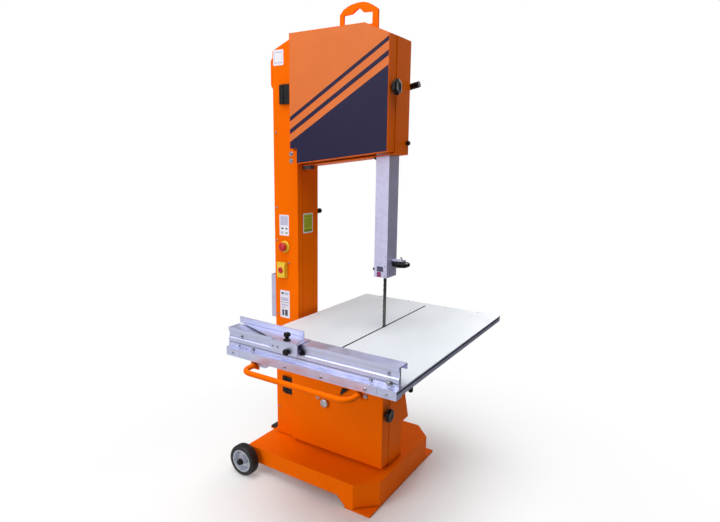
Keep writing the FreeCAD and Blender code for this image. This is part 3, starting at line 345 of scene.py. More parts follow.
def metal(name, colour, roughness, grain, scale=260):
    """Bare metal with a drawn or brushed grain along one axis."""
    finish = Finish(name, metallic=1.0)
    lines = finish.noise(scale, 3, grain)
    tone = finish.spread(lines, 0, 1)
    body = finish.mixed(tone, shade(colour, 0.94), shade(colour, 1.06))
    # Painted shade: the metal darkens to half its colour in crevices and gaps.
    crevice_shade = finish.spread(finish.crevices(0.008), 0, 1, 0.3, 0.85)
    finish.colour(finish.mixed(crevice_shade, shade(colour, 0.5), body))
    finish.roughness(finish.spread(finish.noise(24, 4), roughness - 0.07, roughness + 0.1))
    finish.relief(lines, 0.00003, 0.15)
    return finish.material


def plated(name, colour, roughness):
    """Zinc plate: faint crystal patches under a bright, slightly chalky skin."""
    finish = Finish(name, metallic=0.4)
    patches = finish.cells(90)
    body = finish.mixed(patches, shade(colour, 0.92), shade(colour, 1.06))
    clouds = finish.spread(finish.noise(7, 3), 0, 0.5)
    body = finish.mixed(clouds, body, shade(colour, 0.86))
    # Painted shade: the zinc darkens to under half its colour in crevices and gaps.
    crevice_shade = finish.spread(finish.crevices(0.01), 0, 1, 0.3, 0.85)
    finish.colour(finish.mixed(crevice_shade, shade(colour, 0.45), body))
    finish.roughness(finish.spread(patches, roughness - 0.04, roughness + 0.06, 0, 1))
    finish.relief(finish.noise(500, 2, (1, 1, 0.1)), 0.00003, 0.3)
    return finish.material


def plastic(name, colour, roughness, glare=0.5):
    """Moulded plastic with a fine spark-eroded grain and rubbed high spots."""
    finish = Finish(name, glare=glare)
    rubbed = finish.spread(finish.noise(35, 4), 0, 1)
    finish.colour(finish.mixed(rubbed, shade(colour, 0.85), shade(colour, 1.12)))
    finish.roughness(finish.spread(finish.noise(20, 3), roughness - 0.08, roughness + 0.08))
    finish.relief(finish.noise(1500, 2), 0.00005, 0.4)
    return finish.material


def rubber(name, colour, dust, gloss=0.62):
    """Dull rubber with pale dust in its hollows."""
    finish = Finish(name)
    hollows = finish.spread(finish.crevices(0.006), 1, 0, 0.3, 0.9)
    spots = finish.spread(finish.noise(45, 5), 0, 0.45)
    body = finish.mixed(spots, colour, dust)
    finish.colour(finish.mixed(hollows, body, shade(dust, 1.1)))
    finish.roughness(finish.spread(finish.noise(30, 3), gloss, gloss + 0.2))
    finish.relief(finish.noise(700, 3), 0.0001, 0.5)
    return finish.material


def cast(name, colour):
    """Machined casting: fine pits and turned sheen."""
    finish = Finish(name, metallic=0.8)
    pits = finish.noise(220, 5)
    tone = finish.spread(pits, 0, 1)
    finish.colour(finish.mixed(tone, shade(colour, 0.8), shade(colour, 1.15)))
    finish.roughness(finish.spread(pits, 0.38, 0.58))
    finish.relief(pits, 0.0002, 0.4)
    return finish.material


def coating(name, colour):
    """Light grey table coating: fine speckle, long wipe marks and painted shade near the edges."""
    finish = Finish(name)
    speckle = finish.spread(finish.noise(1400, 2), 0, 1)
    body = finish.mixed(speckle, shade(colour, 0.94), shade(colour, 1.04))
    wipes = finish.spread(finish.noise(9, 4, (1, 0.35, 1)), 0, 0.5)
    body = finish.mixed(wipes, body, shade(colour, 0.9))
    # Painted shade: the coating darkens to 0.7 of its colour in corners and along the edges where parts
    # meet.
    corners = finish.spread(finish.crevices(0.02), 0, 1, 0.4, 0.9)
    finish.colour(finish.mixed(corners, shade(colour, 0.7), body))
    finish.roughness(finish.spread(finish.noise(16, 4), 0.34, 0.52))
    finish.relief(finish.noise(1400, 2), 0.00006, 0.3)
    return finish.material


def film(name, colour, roughness, glare=0.4):
    """Printed self-adhesive film, a little uneven where it lies over the paint."""
    finish = Finish(name, glare=glare)
    clouds = finish.spread(finish.noise(5, 3), 0, 1)
    finish.colour(finish.mixed(clouds, shade(colour, 0.95), shade(colour, 1.05)))
    finish.roughness(finish.spread(finish.noise(40, 4), roughness - 0.04, roughness + 0.06))
    finish.relief(finish.noise(60, 2), 0.00003, 0.12)
    return finish.material


FINISHES = {
    "orange_paint": paint("orange_powder_coat", srgb(252, 110, 0)),
    "aluminium": metal("drawn_aluminium", srgb(216, 220, 248), 0.42, (0.02, 1, 1)),
    "zinc_plate": plated("zinc_plate", srgb(204, 202, 232), 0.36),
    "black_plastic": plastic("black_plastic", srgb(10, 10, 12), 0.34, 0.25),
    "bright_steel": metal("bright_steel", srgb(196, 196, 204), 0.24, (1, 1, 1), 400),
    "black_rubber": rubber("black_rubber", srgb(24, 24, 25), srgb(60, 57, 54)),
    "yellow_plastic": plastic("yellow_plastic", srgb(244, 206, 50), 0.34),
    "red_plastic": plastic("red_plastic", srgb(206, 20, 26), 0.28),
    "green_plastic": plastic("green_plastic", srgb(30, 130, 60), 0.32),
    "motor_paint": paint("motor_enamel", srgb(84, 90, 97), 0.40),
    "blade_steel": metal("band_steel", srgb(98, 94, 92), 0.36, (1, 1, 0.03), 500),
    "cast_wheel": cast("wheel_casting", srgb(128, 130, 134)),
    "table_coating": coating("table_coating", srgb(224, 230, 236)),
    "tyre_rubber": rubber("tyre_rubber", srgb(16, 15, 20), srgb(46, 44, 46), 0.42),
    "rim_steel": plated("rim_zinc", srgb(206, 210, 222), 0.30),
}
FILM_ORANGE = film("door_film_orange", srgb(226, 116, 50), 0.42, 0.2)
FILM_NAVY = film("door_film_navy", srgb(36, 32, 64), 0.45, 0.15)
LABEL_WHITE = film("label_white", srgb(238, 236, 244), 0.35)
LABEL_LILAC = film("label_lilac", srgb(196, 192, 218), 0.38)
LABEL_DARK = film("label_dark_print", srgb(72, 70, 96), 0.4)
LABEL_LIME = film("label_lime", srgb(186, 196, 30), 0.36)
LABEL_OLIVE = film("label_olive_print", srgb(128, 138, 20), 0.4)
LABEL_MAUVE = film("label_mauve", srgb(140, 52, 98), 0.4)


# ---------------------------------------------------------------- mesh tools

# Angles between faces, in degrees.
SMOOTH_BELOW = 38
ROUND_ABOVE = 40


def ring(centre, axis, along, radius, count):
    """Points round an axis; radius is a number or a function of the angle."""
    u, v, w = AXES[axis]
    points = []
    for step in range(count):
        angle = step * math.tau / count
        reach = radius(angle) if callable(radius) else radius
        out = u * math.cos(angle) + v * math.sin(angle)
        points.append(Vector(centre) + w * along + out * reach)
    return points


def loft(bm, rings, closed=False):
    """Skins rings of equally many points; closed joins the last ring back to the first."""
    loops = [[bm.verts.new(point * MM) for point in points] for points in rings]
    pairs = list(zip(loops, loops[1:]))
    if closed:
        pairs.append((loops[-1], loops[0]))
    else:
        bm.faces.new(loops[0])
        bm.faces.new(list(reversed(loops[-1])))
    for first, second in pairs:
        count = len(first)
        for k in range(count):
            bm.faces.new((first[k], second[k], second[(k + 1) % count], first[(k + 1) % count]))


def turned(bm, centre, axis, stations, count=48, closed=False):
    """Skins (along, radius) stations round an axis."""
    loft(bm, [ring(centre, axis, along, radius, count) for along, radius in stations], closed)


def prism(bm, outline, axis, start, end):
    """Extrudes an outline, given as the two coordinates across the axis in X, Y, Z order."""
    order = {"X": (1, 2), "Y": (0, 2), "Z": (0, 1)}[axis]
    across = "XYZ".index(axis)
    rings = []
    for level in (start, end):
        points = []
        for a, b in outline:
            point = [0.0, 0.0, 0.0]
            point[order[0]], point[order[1]], point[across] = a, b, level
            points.append(Vector(point))
        rings.append(points)
    loft(bm, rings)


def box(bm, x, y, z):
    """A block between two corners, for pieces that may have their edges bevelled afterwards."""
    prism(bm, [(x[0], y[0]), (x[1], y[0]), (x[1], y[1]), (x[0], y[1])], "Z", *z)


def soft_rect(a, b, radius, steps=4):
    """Rectangle with rounded corners as an outline."""
    corners = [(a[1] - radius, b[1] - radius, 0), (a[0] + radius, b[1] - radius, 1),
               (a[0] + radius, b[0] + radius, 2), (a[1] - radius, b[0] + radius, 3)]
    outline = []
    for x, y, quarter in corners:
        for k in range(steps + 1):
            angle = (quarter + k / steps) * math.pi / 2
            outline.append((x + radius * math.cos(angle), y + radius * math.sin(angle)))
    return outline


def hexagon(radius):
    """Radius of a hexagon across its corners as a function of the angle."""
    def reach(angle):
        within = (angle % (math.pi / 3)) - math.pi / 6
        return radius * math.cos(math.pi / 6) / math.cos(within)
    return reach


def socket_screw(bm, centre, axis, radius, height, facing=1):
    """Domed screw head with a hexagon socket."""
    turned(bm, centre, axis, [
        (0, radius), (facing * height * 0.45, radius), (facing * height * 0.8, radius * 0.92),
        (facing * height, radius * 0.74), (facing * height, hexagon(radius * 0.5)),
        (facing * height * 0.45, hexagon(radius * 0.48)),
    ], 24)


def hex_bolt(bm, centre, axis, radius, height, facing=1):
    """Washer and hexagon head with a chamfered crown."""
    turned(bm, centre, axis, [
        (0, radius * 1.45), (facing * height * 0.18, radius * 1.45),
        (facing * height * 0.2, hexagon(radius)), (facing * height * 0.85, hexagon(radius)),
        (facing * height, radius * 0.8),
    ], 24)


def piece(name, body, bm, finish, slot=None, stands_for=(), bevel=0.0):
    """Turns the mesh into an object that rides on a body and has its finish."""
    bmesh.ops.recalc_face_normals(bm, faces=bm.faces)
    limit = math.radians(SMOOTH_BELOW)
    for face in bm.faces:
        face.smooth = True
    for edge in bm.edges:
        edge.smooth = edge.calc_face_angle(0.0) < limit
    mesh = bpy.data.meshes.new(name)
    bm.to_mesh(mesh)
    bm.free()
    mesh.materials.append(finish)
    made = bpy.data.objects.new(name, mesh)
    bpy.context.scene.collection.objects.link(made)
    if bevel:
        soften(made, bevel)
    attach(made, body)
    if stands_for:
        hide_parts(*stands_for)
    return made


def soften(target, width):
    """Rounds the target's hard edges."""
    bevel = target.modifiers.new("edge_round", "BEVEL")
    bevel.width = width * MM
    bevel.segments = 2
    bevel.limit_method = "ANGLE"
    bevel.angle_limit = math.radians(ROUND_ABOVE)
    bevel.harden_normals = True


def made_of(slot):
    """The finish of one of the record's slots, with the slot's name."""
    return FINISHES[slot], slot


# ---------------------------------------------------------------- CAD nodes

def finish_cad_nodes():
    """Gives each CAD node the finish of its slot and rounds the sheet-metal edges."""
    slots = {part["node"]: part["material_slot"] for part in frame["record"]["subparts"]}
    rounded = {
        "upper_casing": 1.6, "lower_casing": 1.6, "column_channel": 1.6, "column_cover": 1.0,
        "base_deck": 1.6, "foot_plate": 1.2, "upper_door": 1.6, "lower_door": 1.6, "rear_hood": 1.2,
        "belt_guard": 1.6, "lifting_eye": 1.2, "guide_post": 1.0, "table_top": 0.5,
        "table_rear_strip": 0.6, "table_side_rails": 0.6, "table_front_bar": 0.8, "mitre_arm": 0.6,
        "mitre_carriage": 0.8, "fence": 0.6, "switch_flap": 1.0, "switch_box": 1.0, "side_bracket": 0.8,
        "upper_blade_guide": 0.5, "table_runners": 0.6, "fixed_hinge_leaves": 0.8,
        "upper_hinge_leaf": 0.8, "lower_hinge_leaf": 0.8, "tension_carriage": 0.8, "tilt_step": 0.8,
    }
    for name, node in frame["nodes"].items():
        finish = FINISHES[slots[name]]
        for holder in node.material_slots:
            holder.material = finish
        if not node.material_slots:
            node.data.materials.append(finish)
        if name in rounded:
            soften(node, rounded[name])


# ---------------------------------------------------------------- doors, labels and housings

def make_door_film():
    """Lighter film over the upper door with two slanting stripes and a navy field."""
    face = lowest("upper_door").y
    edge = 1.5
    left, right = lowest("upper_door").x + edge, highest("upper_door").x - edge
    top = highest("upper_door").z - 2
    notch_x, notch_z = -368.5, 1431.5
    foot = [(left, notch_z), (notch_x, notch_z), (notch_x, 1372.2), (right, 1422.6)]

    def stripe(left_low, left_high, right_low, right_high):
        return [(left, left_low), (right, right_low), (right, right_high), (left, left_high)]

    sheets = {
        "door_film": (FILM_ORANGE, 0.25, [*foot, (right, 1837), (-48.5, top), (left, top)]),
        "door_stripe_upper": (FILM_NAVY, 0.5, stripe(1540, 1558, 1812, 1828)),
        "door_stripe_lower": (FILM_NAVY, 0.5, stripe(1489, 1508, 1761, 1780)),
        "door_navy_field": (FILM_NAVY, 0.5, [*foot, (right, 1729), (left, 1458)]),
    }
    for name, (finish, thickness, outline) in sheets.items():
        bm = bmesh.new()
        prism(bm, outline, "Y", face - thickness, face + 0.2)
        piece(name, "upper_door", bm, finish)


def make_label(name, plane, face, across, height, ground, marks):
    """A rounded label on the plane Y or X, with raised prints given in label fractions."""
    outward = -1 if plane == "Y" else 1
    bm = bmesh.new()
    prism(bm, soft_rect(across, height, 3), plane, face, face + outward * 0.3)
    piece(f"{name}_ground", FRAME_BODY, bm, ground)
    width = across[1] - across[0]
    tall = height[1] - height[0]
    for index, (finish, corners) in enumerate(marks):
        bm = bmesh.new()
        for a0, a1, b0, b1 in corners:
            box_a = (across[0] + a0 * width, across[0] + a1 * width)
            box_b = (height[0] + b0 * tall, height[0] + b1 * tall)
            prism(bm, soft_rect(box_a, box_b, 0.8, 2), plane, face + outward * 0.1, face + outward * 0.5)
        piece(f"{name}_print_{index}", FRAME_BODY, bm, finish)


def make_labels():
    """Generic notices: plain blocks and bars where the real ones carry symbols."""
    make_label("label_top", "Y", COVER_FRONT, (-511, -456), (1771, 1833), LABEL_WHITE, [
        (LABEL_LILAC, [(0.12, 0.88, 0.14, 0.2), (0.12, 0.88, 0.8, 0.86), (0.12, 0.16, 0.2, 0.8),
                       (0.84, 0.88, 0.2, 0.8)])])
    make_label("label_panel", "Y", COVER_FRONT, (-488, -435), (1059, 1150), LABEL_WHITE, [
        (LABEL_LILAC, [(0.1, 0.9, 0.5, 0.94), (0.14, 0.42, 0.08, 0.2)]),
        (LABEL_DARK, [(0.2, 0.42, 0.3, 0.38), (0.66, 0.84, 0.3, 0.38)]),
        (LABEL_OLIVE, [(0.66, 0.84, 0.1, 0.18)])])
    make_label("label_notice", "Y", COVER_FRONT, (-489, -435), (686, 812), LABEL_WHITE, [
        (LABEL_LILAC, [(0.12, 0.88, 0.62, 0.74), (0.46, 0.88, 0.84, 0.94), (0.12, 0.88, 0.44, 0.5),
                       (0.12, 0.6, 0.36, 0.4)]),
        (LABEL_DARK, [(0.14, 0.36, 0.85, 0.93), (0.06, 0.94, 0.556, 0.572), (0.2, 0.4, 0.08, 0.3),
                      (0.5, 0.78, 0.08, 0.3)])])
    make_label("label_side", "X", COLUMN_RIGHT, (-50, 19), (1070, 1157), LABEL_WHITE, [
        (LABEL_LIME, [(0.07, 0.93, 0.06, 0.94)])])
    bm = bmesh.new()
    for level, tall in ((1078, 7), (1098, 2.5), (1108, 2.5), (1118, 2.5), (1128, 2.5), (1142, 2.5)):
        line = soft_rect((-42, 11), (level, level + tall), 0.8, 2)
        prism(bm, line, "X", COLUMN_RIGHT + 0.2, COLUMN_RIGHT + 0.65)
    piece("label_side_lines", FRAME_BODY, bm, LABEL_OLIVE)


def make_cover_bolts():
    """Two nuts below the door and the screws down the column cover."""
    bm = bmesh.new()
    for z in (1410, 1381):
        hex_bolt(bm, (-419, COVER_FRONT, z), "Y", 7, 6.5, -1)
    left_row = -501
    for x, z in ((left_row, 1036), (-436, 939), (left_row, 700), (left_row, 1180), (left_row, 560),
                 (left_row, 250), (left_row, 1500)):
        socket_screw(bm, (x, COVER_FRONT, z), "Y", 4.2, 3, -1)
    piece("cover_bolts", FRAME_BODY, bm, *made_of("bright_steel"), stands_for=("cover_screws",))


def make_rear_bolts():
    """Bolts on the back of the housings and on the belt guard."""
    bm = bmesh.new()
    for z in (UPPER_AXIS - 74, UPPER_AXIS + 74):
        for x in (WHEEL_X - 16, WHEEL_X + 16):
            hex_bolt(bm, (x, HOUSING_BACK, z), "Y", 6, 5)
    for x, z in ((-96, 300), (50, 300), (-60, 478), (16, 478)):
        hex_bolt(bm, (x, HOUSING_BACK, z), "Y", 5, 4.5)
    for z in (650, 900, 1350):
        for x in (-495, -406):
            socket_screw(bm, (x, HOUSING_BACK, z), "Y", 5, 3)
    guard_back = highest("belt_guard").y
    for x, z in ((-444, 200), (-346, 190), (-152, 320), (-152, 424), (-270, 424), (-444, 286)):
        socket_screw(bm, (x, guard_back, z), "Y", 4.5, 2.6)
    piece("rear_bolts", FRAME_BODY, bm, *made_of("bright_steel"))


# ---------------------------------------------------------------- wheels, knobs and buttons

def make_tyres():
    """Rubber tyres with rounded shoulders and three grooves, and a cap on each axle end."""
    groove = 68.2
    half = [
        (0, 70), (2.2, 70), (2.8, groove), (4.6, groove), (5.2, 70), (9.2, 70), (9.8, groove),
        (11.6, groove), (12.2, 69.8), (16, 69), (19.5, 66.8), (22, 62.5), (23, 57), (22, 52.5), (19, 50),
    ]
    stations = [(-along, radius) for along, radius in reversed(half[1:])] + half
    cap = [(22.4, 14.5), (29, 14.5), (31.5, 12.5), (35.5, 12), (38, 9), (38.6, 4)]
    axle = middle("transport_axle")
    for side, outward in (("front", -1), ("rear", 1)):
        centre = (axle.x, middle(f"{side}_tyre").y, axle.z)
        bm = bmesh.new()
        turned(bm, centre, "Y", stations, 72, closed=True)
        wheel = f"{side}_wheel"
        piece(f"{wheel}_tyre", wheel, bm, *made_of("tyre_rubber"), stands_for=(f"{side}_tyre",))
        bm = bmesh.new()
        turned(bm, centre, "Y", [(outward * along, radius) for along, radius in cap])
        piece(f"{wheel}_hub_cap", FRAME_BODY, bm, *made_of("black_plastic"))


def lobed(radius, depth, lobes):
    """Radius of a hand knob with soft finger lobes as a function of the angle."""
    def reach(angle):
        return radius * (1 - depth * (0.5 + 0.5 * math.cos(lobes * angle)))
    return reach


def star_knob(bm, centre, axis, hub, disc, facing=1, lobes=6):
    """Hub (radius, length) and a softly lobed disc (radius, thickness) with a domed face."""
    start, radius, thick = hub[1], disc[0], disc[1]
    rise = ((0, 0.78), (0.07, 0.9), (0.2, 1), (0.72, 1), (0.88, 0.93), (0.96, 0.8), (0.97, 0.5),
            (0.9, 0.36))
    stations = [(0, hub[0]), (facing * start, hub[0])]
    stations += [(facing * (start + thick * along), lobed(radius * size, 0.15 * size ** 2, lobes))
                 for along, size in rise]
    turned(bm, centre, axis, stations, 72)


def make_star_knobs():
    """The star knobs of the doors, the blade guide and the fence carriage."""
    knobs = (
        ("upper_door_knob", "X", (10, 12), (30, 16), 1),
        ("lower_door_knob", "X", (10, 10), (30, 16), 1),
        ("guide_knob", "Z", (9, 3), (36, 20), -1),
        ("carriage_knob", "Y", (7, 4), (12, 11), -1),
    )
    for name, axis, hub, disc, facing in knobs:
        bm = bmesh.new()
        star_knob(bm, seat(name, axis, facing), axis, hub, disc, facing)
        piece(f"{name}_grip", name, bm, *made_of("black_plastic"), stands_for=(name,))


def make_mitre_knob():
    """Waisted knob on the stud of the mitre arm, with five soft lobes."""
    place = middle("mitre_knob")
    place.z = lowest("mitre_arm").z
    bm = bmesh.new()
    turned(bm, place, "Z", [
        (5, 13), (6.5, 13), (8.5, 10), (10.5, 6.8), (15, 6.3), (17.5, 8), (19, lobed(12, 0.16, 5)),
        (21, lobed(12.5, 0.18, 5)), (27, lobed(12.5, 0.18, 5)), (29.5, lobed(11, 0.12, 5)), (31, 6),
    ], 60)
    piece("mitre_knob_grip", "mitre_knob", bm, *made_of("black_plastic"), stands_for=("mitre_knob",))


def make_table_edge_knob():
    """Small knob under the right edge of the table."""
    bm = bmesh.new()
    place = (TABLE_RIGHT - 10, TABLE_FRONT + 116, lowest("table_side_rails").z)
    star_knob(bm, place, "Z", (4, 4), (8, 17), -1, 5)
    piece("table_edge_knob", "table", bm, *made_of("black_plastic"))


def make_head_stop_knob():
    """Small stop knob low on the right side of the head."""
    bm = bmesh.new()
    place = (highest("upper_casing").x, 40, 1456)
    turned(bm, place, "X", [(-1, 6), (4, 6), (5, 8.5), (12, 8.5), (14, 6.5)], 32)
    piece("head_stop_knob", FRAME_BODY, bm, *made_of("black_plastic"))


def make_buttons():
    """Domed mushroom of the emergency stop, and the rim round the switch's stop pad."""
    stop, pad = middle("e_stop_collar"), middle("stop_pad")
    bm = bmesh.new()
    turned(bm, (stop.x, COVER_FRONT, stop.z), "Y", [
        (-1, 11), (-14, 11), (-14.3, 18.6), (-15.6, 20), (-19, 20), (-21.6, 18.4), (-24, 14),
        (-25.4, 8), (-26, 3),
    ], 64)
    piece("e_stop_mushroom", "e_stop_button", bm, *made_of("red_plastic"), stands_for=("e_stop_button",))
    bm = bmesh.new()
    turned(bm, (pad.x, COVER_FRONT, pad.z), "Y", [
        (-17.1, 13.8), (-19.1, 13.8), (-19.7, 14.6), (-19.1, 16.4), (-17.1, 17),
    ], 48, closed=True)
    piece("switch_flap_rim", "switch_flap", bm, *made_of("yellow_plastic"))


# ---------------------------------------------------------------- band and guide foot

def make_blade():
    """Cutting run of the band with its teeth, which point down."""
    node = "blade_cutting_run"
    thin = (lowest(node).x, highest(node).x)
    root = lowest(node).y + 2.7
    bottom, top = lowest(node).z, highest(node).z
    bm = bmesh.new()
    box(bm, thin, (root, highest(node).y), (bottom, top))
    pitch = 22
    for step in range(int((top - bottom) / pitch)):
        foot = bottom + 2 + step * pitch
        tip = lowest(node).y
        tooth = [(root + 1, foot), (tip, foot + 0.8), (tip + 0.9, foot + 5), (root + 1, foot + 17)]
        prism(bm, tooth, "X", *thin)
    piece("cutting_band", FRAME_BODY, bm, *made_of("blade_steel"), stands_for=(node,))


def make_treads():
    """Rubber treads of the band wheels and the washer and nut that hold each wheel."""
    for body, level in (("upper_wheel", UPPER_AXIS), ("lower_wheel", LOWER_AXIS)):
        centre = (WHEEL_X, 0, level)
        bm = bmesh.new()
        turned(bm, centre, "Y", [
            (-15.2, 207), (-15.6, 212), (-15.2, 218.2), (-14, 219.1), (14, 219.1), (15.2, 218.2),
            (15.6, 212), (15.2, 207),
        ], 128, closed=True)
        piece(f"{body}_tread", body, bm, *made_of("black_rubber"))
        bm = bmesh.new()
        turned(bm, centre, "Y", [
            (-15, 30), (-17.5, 30), (-18, 28), (-18, hexagon(17)), (-25, hexagon(17)), (-27, 13.5),
            (-27.5, 6),
        ], 48)
        piece(f"{body}_nut", body, bm, *made_of("bright_steel"))


def make_guide_foot():
    """Nuts and studs on the foot of the guide post, its stop bolt and its two stickers."""
    front = lowest("guide_post").y
    knob_x = middle("guide_knob").x
    bracket_top = highest("upper_blade_guide").z
    bm = bmesh.new()
    hex_bolt(bm, (knob_x, 0, bracket_top), "Z", 6.5, 6)
    turned(bm, (knob_x, 0, bracket_top + 5), "Z", [(0, 3.6), (7, 3.6), (8.5, 2.4)], 20)
    for z in (936, 968):
        socket_screw(bm, (34, 0, z), "X", 4.2, 3)
    for z in (930, 970):
        socket_screw(bm, (20, front, z), "Y", 3.4, 2, -1)
    piece("guide_foot_bolts", "guide_post", bm, *made_of("bright_steel"))
    bm = bmesh.new()
    hex_bolt(bm, (lowest("upper_blade_guide").x, -32, 953), "X", 7, 10, -1)
    piece("guide_foot_stop", "guide_post", bm, *made_of("black_plastic"))
    for name, z, x, finish in (("foot_sticker_dark", (946, 967), (-16, 13), LABEL_DARK),
                               ("foot_sticker_mauve", (923, 944), (-16, 4), LABEL_MAUVE)):
        bm = bmesh.new()
        prism(bm, soft_rect(x, z, 3), "Y", front - 0.4, front + 0.1)
        piece(name, "guide_post", bm, finish)


# ---------------------------------------------------------------- table, fence and mitre carriage

def make_table_screws():
    """Screws of the table's strips, the fence and the front bar."""
    bm = bmesh.new()
    for x in (-268, -108, 92, 252):
        socket_screw(bm, (x, middle("table_rear_strip").y, TABLE_TOP), "Z", 4.6, 0.9)
    for x in (-83, 71, 241):
        socket_screw(bm, (x, TABLE_FRONT, 685), "Y", 5.5, 3, -1)
    for x in (-327, 318):
        socket_screw(bm, (x, TABLE_FRONT, 687), "Y", 4, 2.4, -1)
    for x in (-298, 315):
        socket_screw(bm, (x, FENCE_WEB, 749), "Y", 5, 4, -1)
    for x in (-243, 252):
        hex_bolt(bm, (x, FENCE_WEB - 1, 712.5), "Y", 5, 6, -1)
    hex_bolt(bm, (320, FENCE_FRONT, 720), "Y", 7.5, 10, -1)
    for x in (-242, 236):
        hex_bolt(bm, (x, FENCE_FRONT - 2, 656), "Y", 5, 5, -1)
    piece("table_screws", "table", bm, *made_of("bright_steel"))


def make_slot_shade_strips():
    """Black strips in the bottoms of the two side slots, painted shade that darkens the slots, and the
    plugs that close them at the back.
    """
    level = (TABLE_TOP - 11.8, TABLE_TOP - 5.7)
    for side, edge, inward in (("right", TABLE_RIGHT, -1), ("left", TABLE_LEFT, 1)):
        # Painted shade: a black strip lies in the bottom of each slot.
        shade_strip = sorted((edge + inward * 7.6, edge + inward * 9.2))
        plug = sorted((edge + inward * 0.2, edge + inward * 7.1))
        bm = bmesh.new()
        box(bm, shade_strip, (TABLE_FRONT + 3.4, TABLE_BACK - 0.5), level)
        box(bm, plug, (TABLE_BACK - 4, TABLE_BACK - 0.2), level)
        piece(f"slot_shade_and_plug_{side}", "table", bm, *made_of("black_rubber"), bevel=0.3)


def make_saw_slot_lips():
    """Dark lips on both sides of the saw slot."""
    run = (lowest("table_top").y + 57.2, highest("table_top").y - 19.2)
    bm = bmesh.new()
    for x in ((-4.2, -3.3), (3.3, 4.2)):
        box(bm, x, run, (TABLE_TOP - 14, TABLE_TOP - 0.1))
    piece("saw_slot_lips", "table", bm, *made_of("black_rubber"))


def make_bar_clip():
    """Bent clip under the front bar."""
    top = lowest("table_front_bar").z + 0.2
    bends = ((-224, 0), (-224, 9.2), (-214, 13.2), (-208, 19.2), (-182, 19.2), (-177, 12.2), (-164, 9.2),
             (-164, 0))
    bm = bmesh.new()
    prism(bm, [(x, top - drop) for x, drop in bends], "Y", TABLE_FRONT + 11, TABLE_FRONT + 28)
    piece("bar_clip", "table", bm, *made_of("aluminium"), bevel=1)


def make_carriage_details():
    """Catch beside the fence carriage and the two screws in the carriage's face."""
    bm = bmesh.new()
    prism(bm, soft_rect((-26, -10), (738, 752), 4), "Y", FENCE_WEB - 13, FENCE_WEB)
    piece("carriage_catch", "mitre_carriage", bm, *made_of("black_plastic"), bevel=1)
    bm = bmesh.new()
    for x in (-126, -104):
        socket_screw(bm, (x, lowest("mitre_carriage").y, 757), "Y", 3.6, 2.6, -1)
    piece("carriage_screws", "mitre_carriage", bm, *made_of("bright_steel"))


# ---------------------------------------------------------------- small parts of doors and frame

def make_door_details():
    """Flap on the lower door, and the ring and lock screw round the axle cap."""
    face = lowest("lower_door").y
    cap = lowest("lower_door_cap").y
    bm = bmesh.new()
    prism(bm, [(-141, 406), (-97, 440), (-129, 440)], "Y", face - 7, face + 0.5)
    piece("door_flap", "lower_door", bm, *made_of("black_plastic"), bevel=1)
    bm = bmesh.new()
    turned(bm, (WHEEL_X, cap, LOWER_AXIS), "Y", [
        (0.6, 18.3), (-1.6, 17), (-2.6, 14.5), (-2.6, 9.5), (-1, 8.4), (-1, 0.6)])
    socket_screw(bm, (WHEEL_X - 37, face - 7, LOWER_AXIS + 19), "Y", 7.5, 3.2, -1)
    piece("axle_cap_ring", "lower_door", bm, *made_of("bright_steel"))


def make_head_details():
    """Door switch under the head, and a black wedge beside the guide post that stands in for the shade
    in the gap under the door.
    """
    floor = lowest("upper_casing").z
    post = lowest("guide_post")
    bm = bmesh.new()
    outline = soft_rect((COLUMN_RIGHT, COLUMN_RIGHT + 44), (-52, -26), 3)
    prism(bm, outline, "Z", floor - 12, floor + 6)
    piece("door_switch", FRAME_BODY, bm, *made_of("motor_paint"), bevel=1)
    # Painted shade: a black rubber wedge fills the dark gap between the door's bottom and the guide
    # post.
    bm = bmesh.new()
    touch = post.x + 0.4
    prism(bm, [(post.x - 18, 1401), (touch, 1403), (touch, 1386)], "Y", post.y + 1, post.y + 17)
    piece("post_gap_shade_wedge", FRAME_BODY, bm, *made_of("black_rubber"), bevel=0.5)


def make_hinge_screws():
    """Four screws in the fixed half of each door hinge."""
    bm = bmesh.new()
    for leaf in ("upper_hinge_leaf", "lower_hinge_leaf"):
        for rise in (10, 29, 49, 68):
            socket_screw(bm, (-468, COVER_FRONT - 6, lowest(leaf).z + rise), "Y", 3.2, 1.6, -1)
    piece("hinge_screws", FRAME_BODY, bm, *made_of("black_plastic"))


def make_tilt_step_ribs():
    """Ribs across the sloping face of the tilt step."""
    start, end = lowest("tilt_step"), highest("tilt_step")
    slope = 0.486
    bm = bmesh.new()
    ribs, pitch = 6, 11
    for step in range(ribs):
        run = 5 + step * pitch
        x = start.x + run
        foot = start.z + 8 + run * slope
        outline = [(x, foot - 0.3), (x + 3.5, foot + 3.6), (x + 6, foot + 2.7)]
        prism(bm, outline, "Y", start.y + 1, end.y - 1)
    piece("tilt_step_ribs", FRAME_BODY, bm, *made_of("black_rubber"))


# ---------------------------------------------------------------- drive motor

def radial_bar(angle, inner, outer, foot, tip):
    """Outline of a bar pointing away from the motor's axis; foot and tip are half widths."""
    out = Vector((math.cos(angle), math.sin(angle)))
    side = Vector((-out.y, out.x))
    corners = (out * inner + side * foot, out * outer + side * tip,
               out * outer - side * tip, out * inner - side * foot)
    return [(MOTOR.x + corner.x, MOTOR.z + corner.y) for corner in corners]


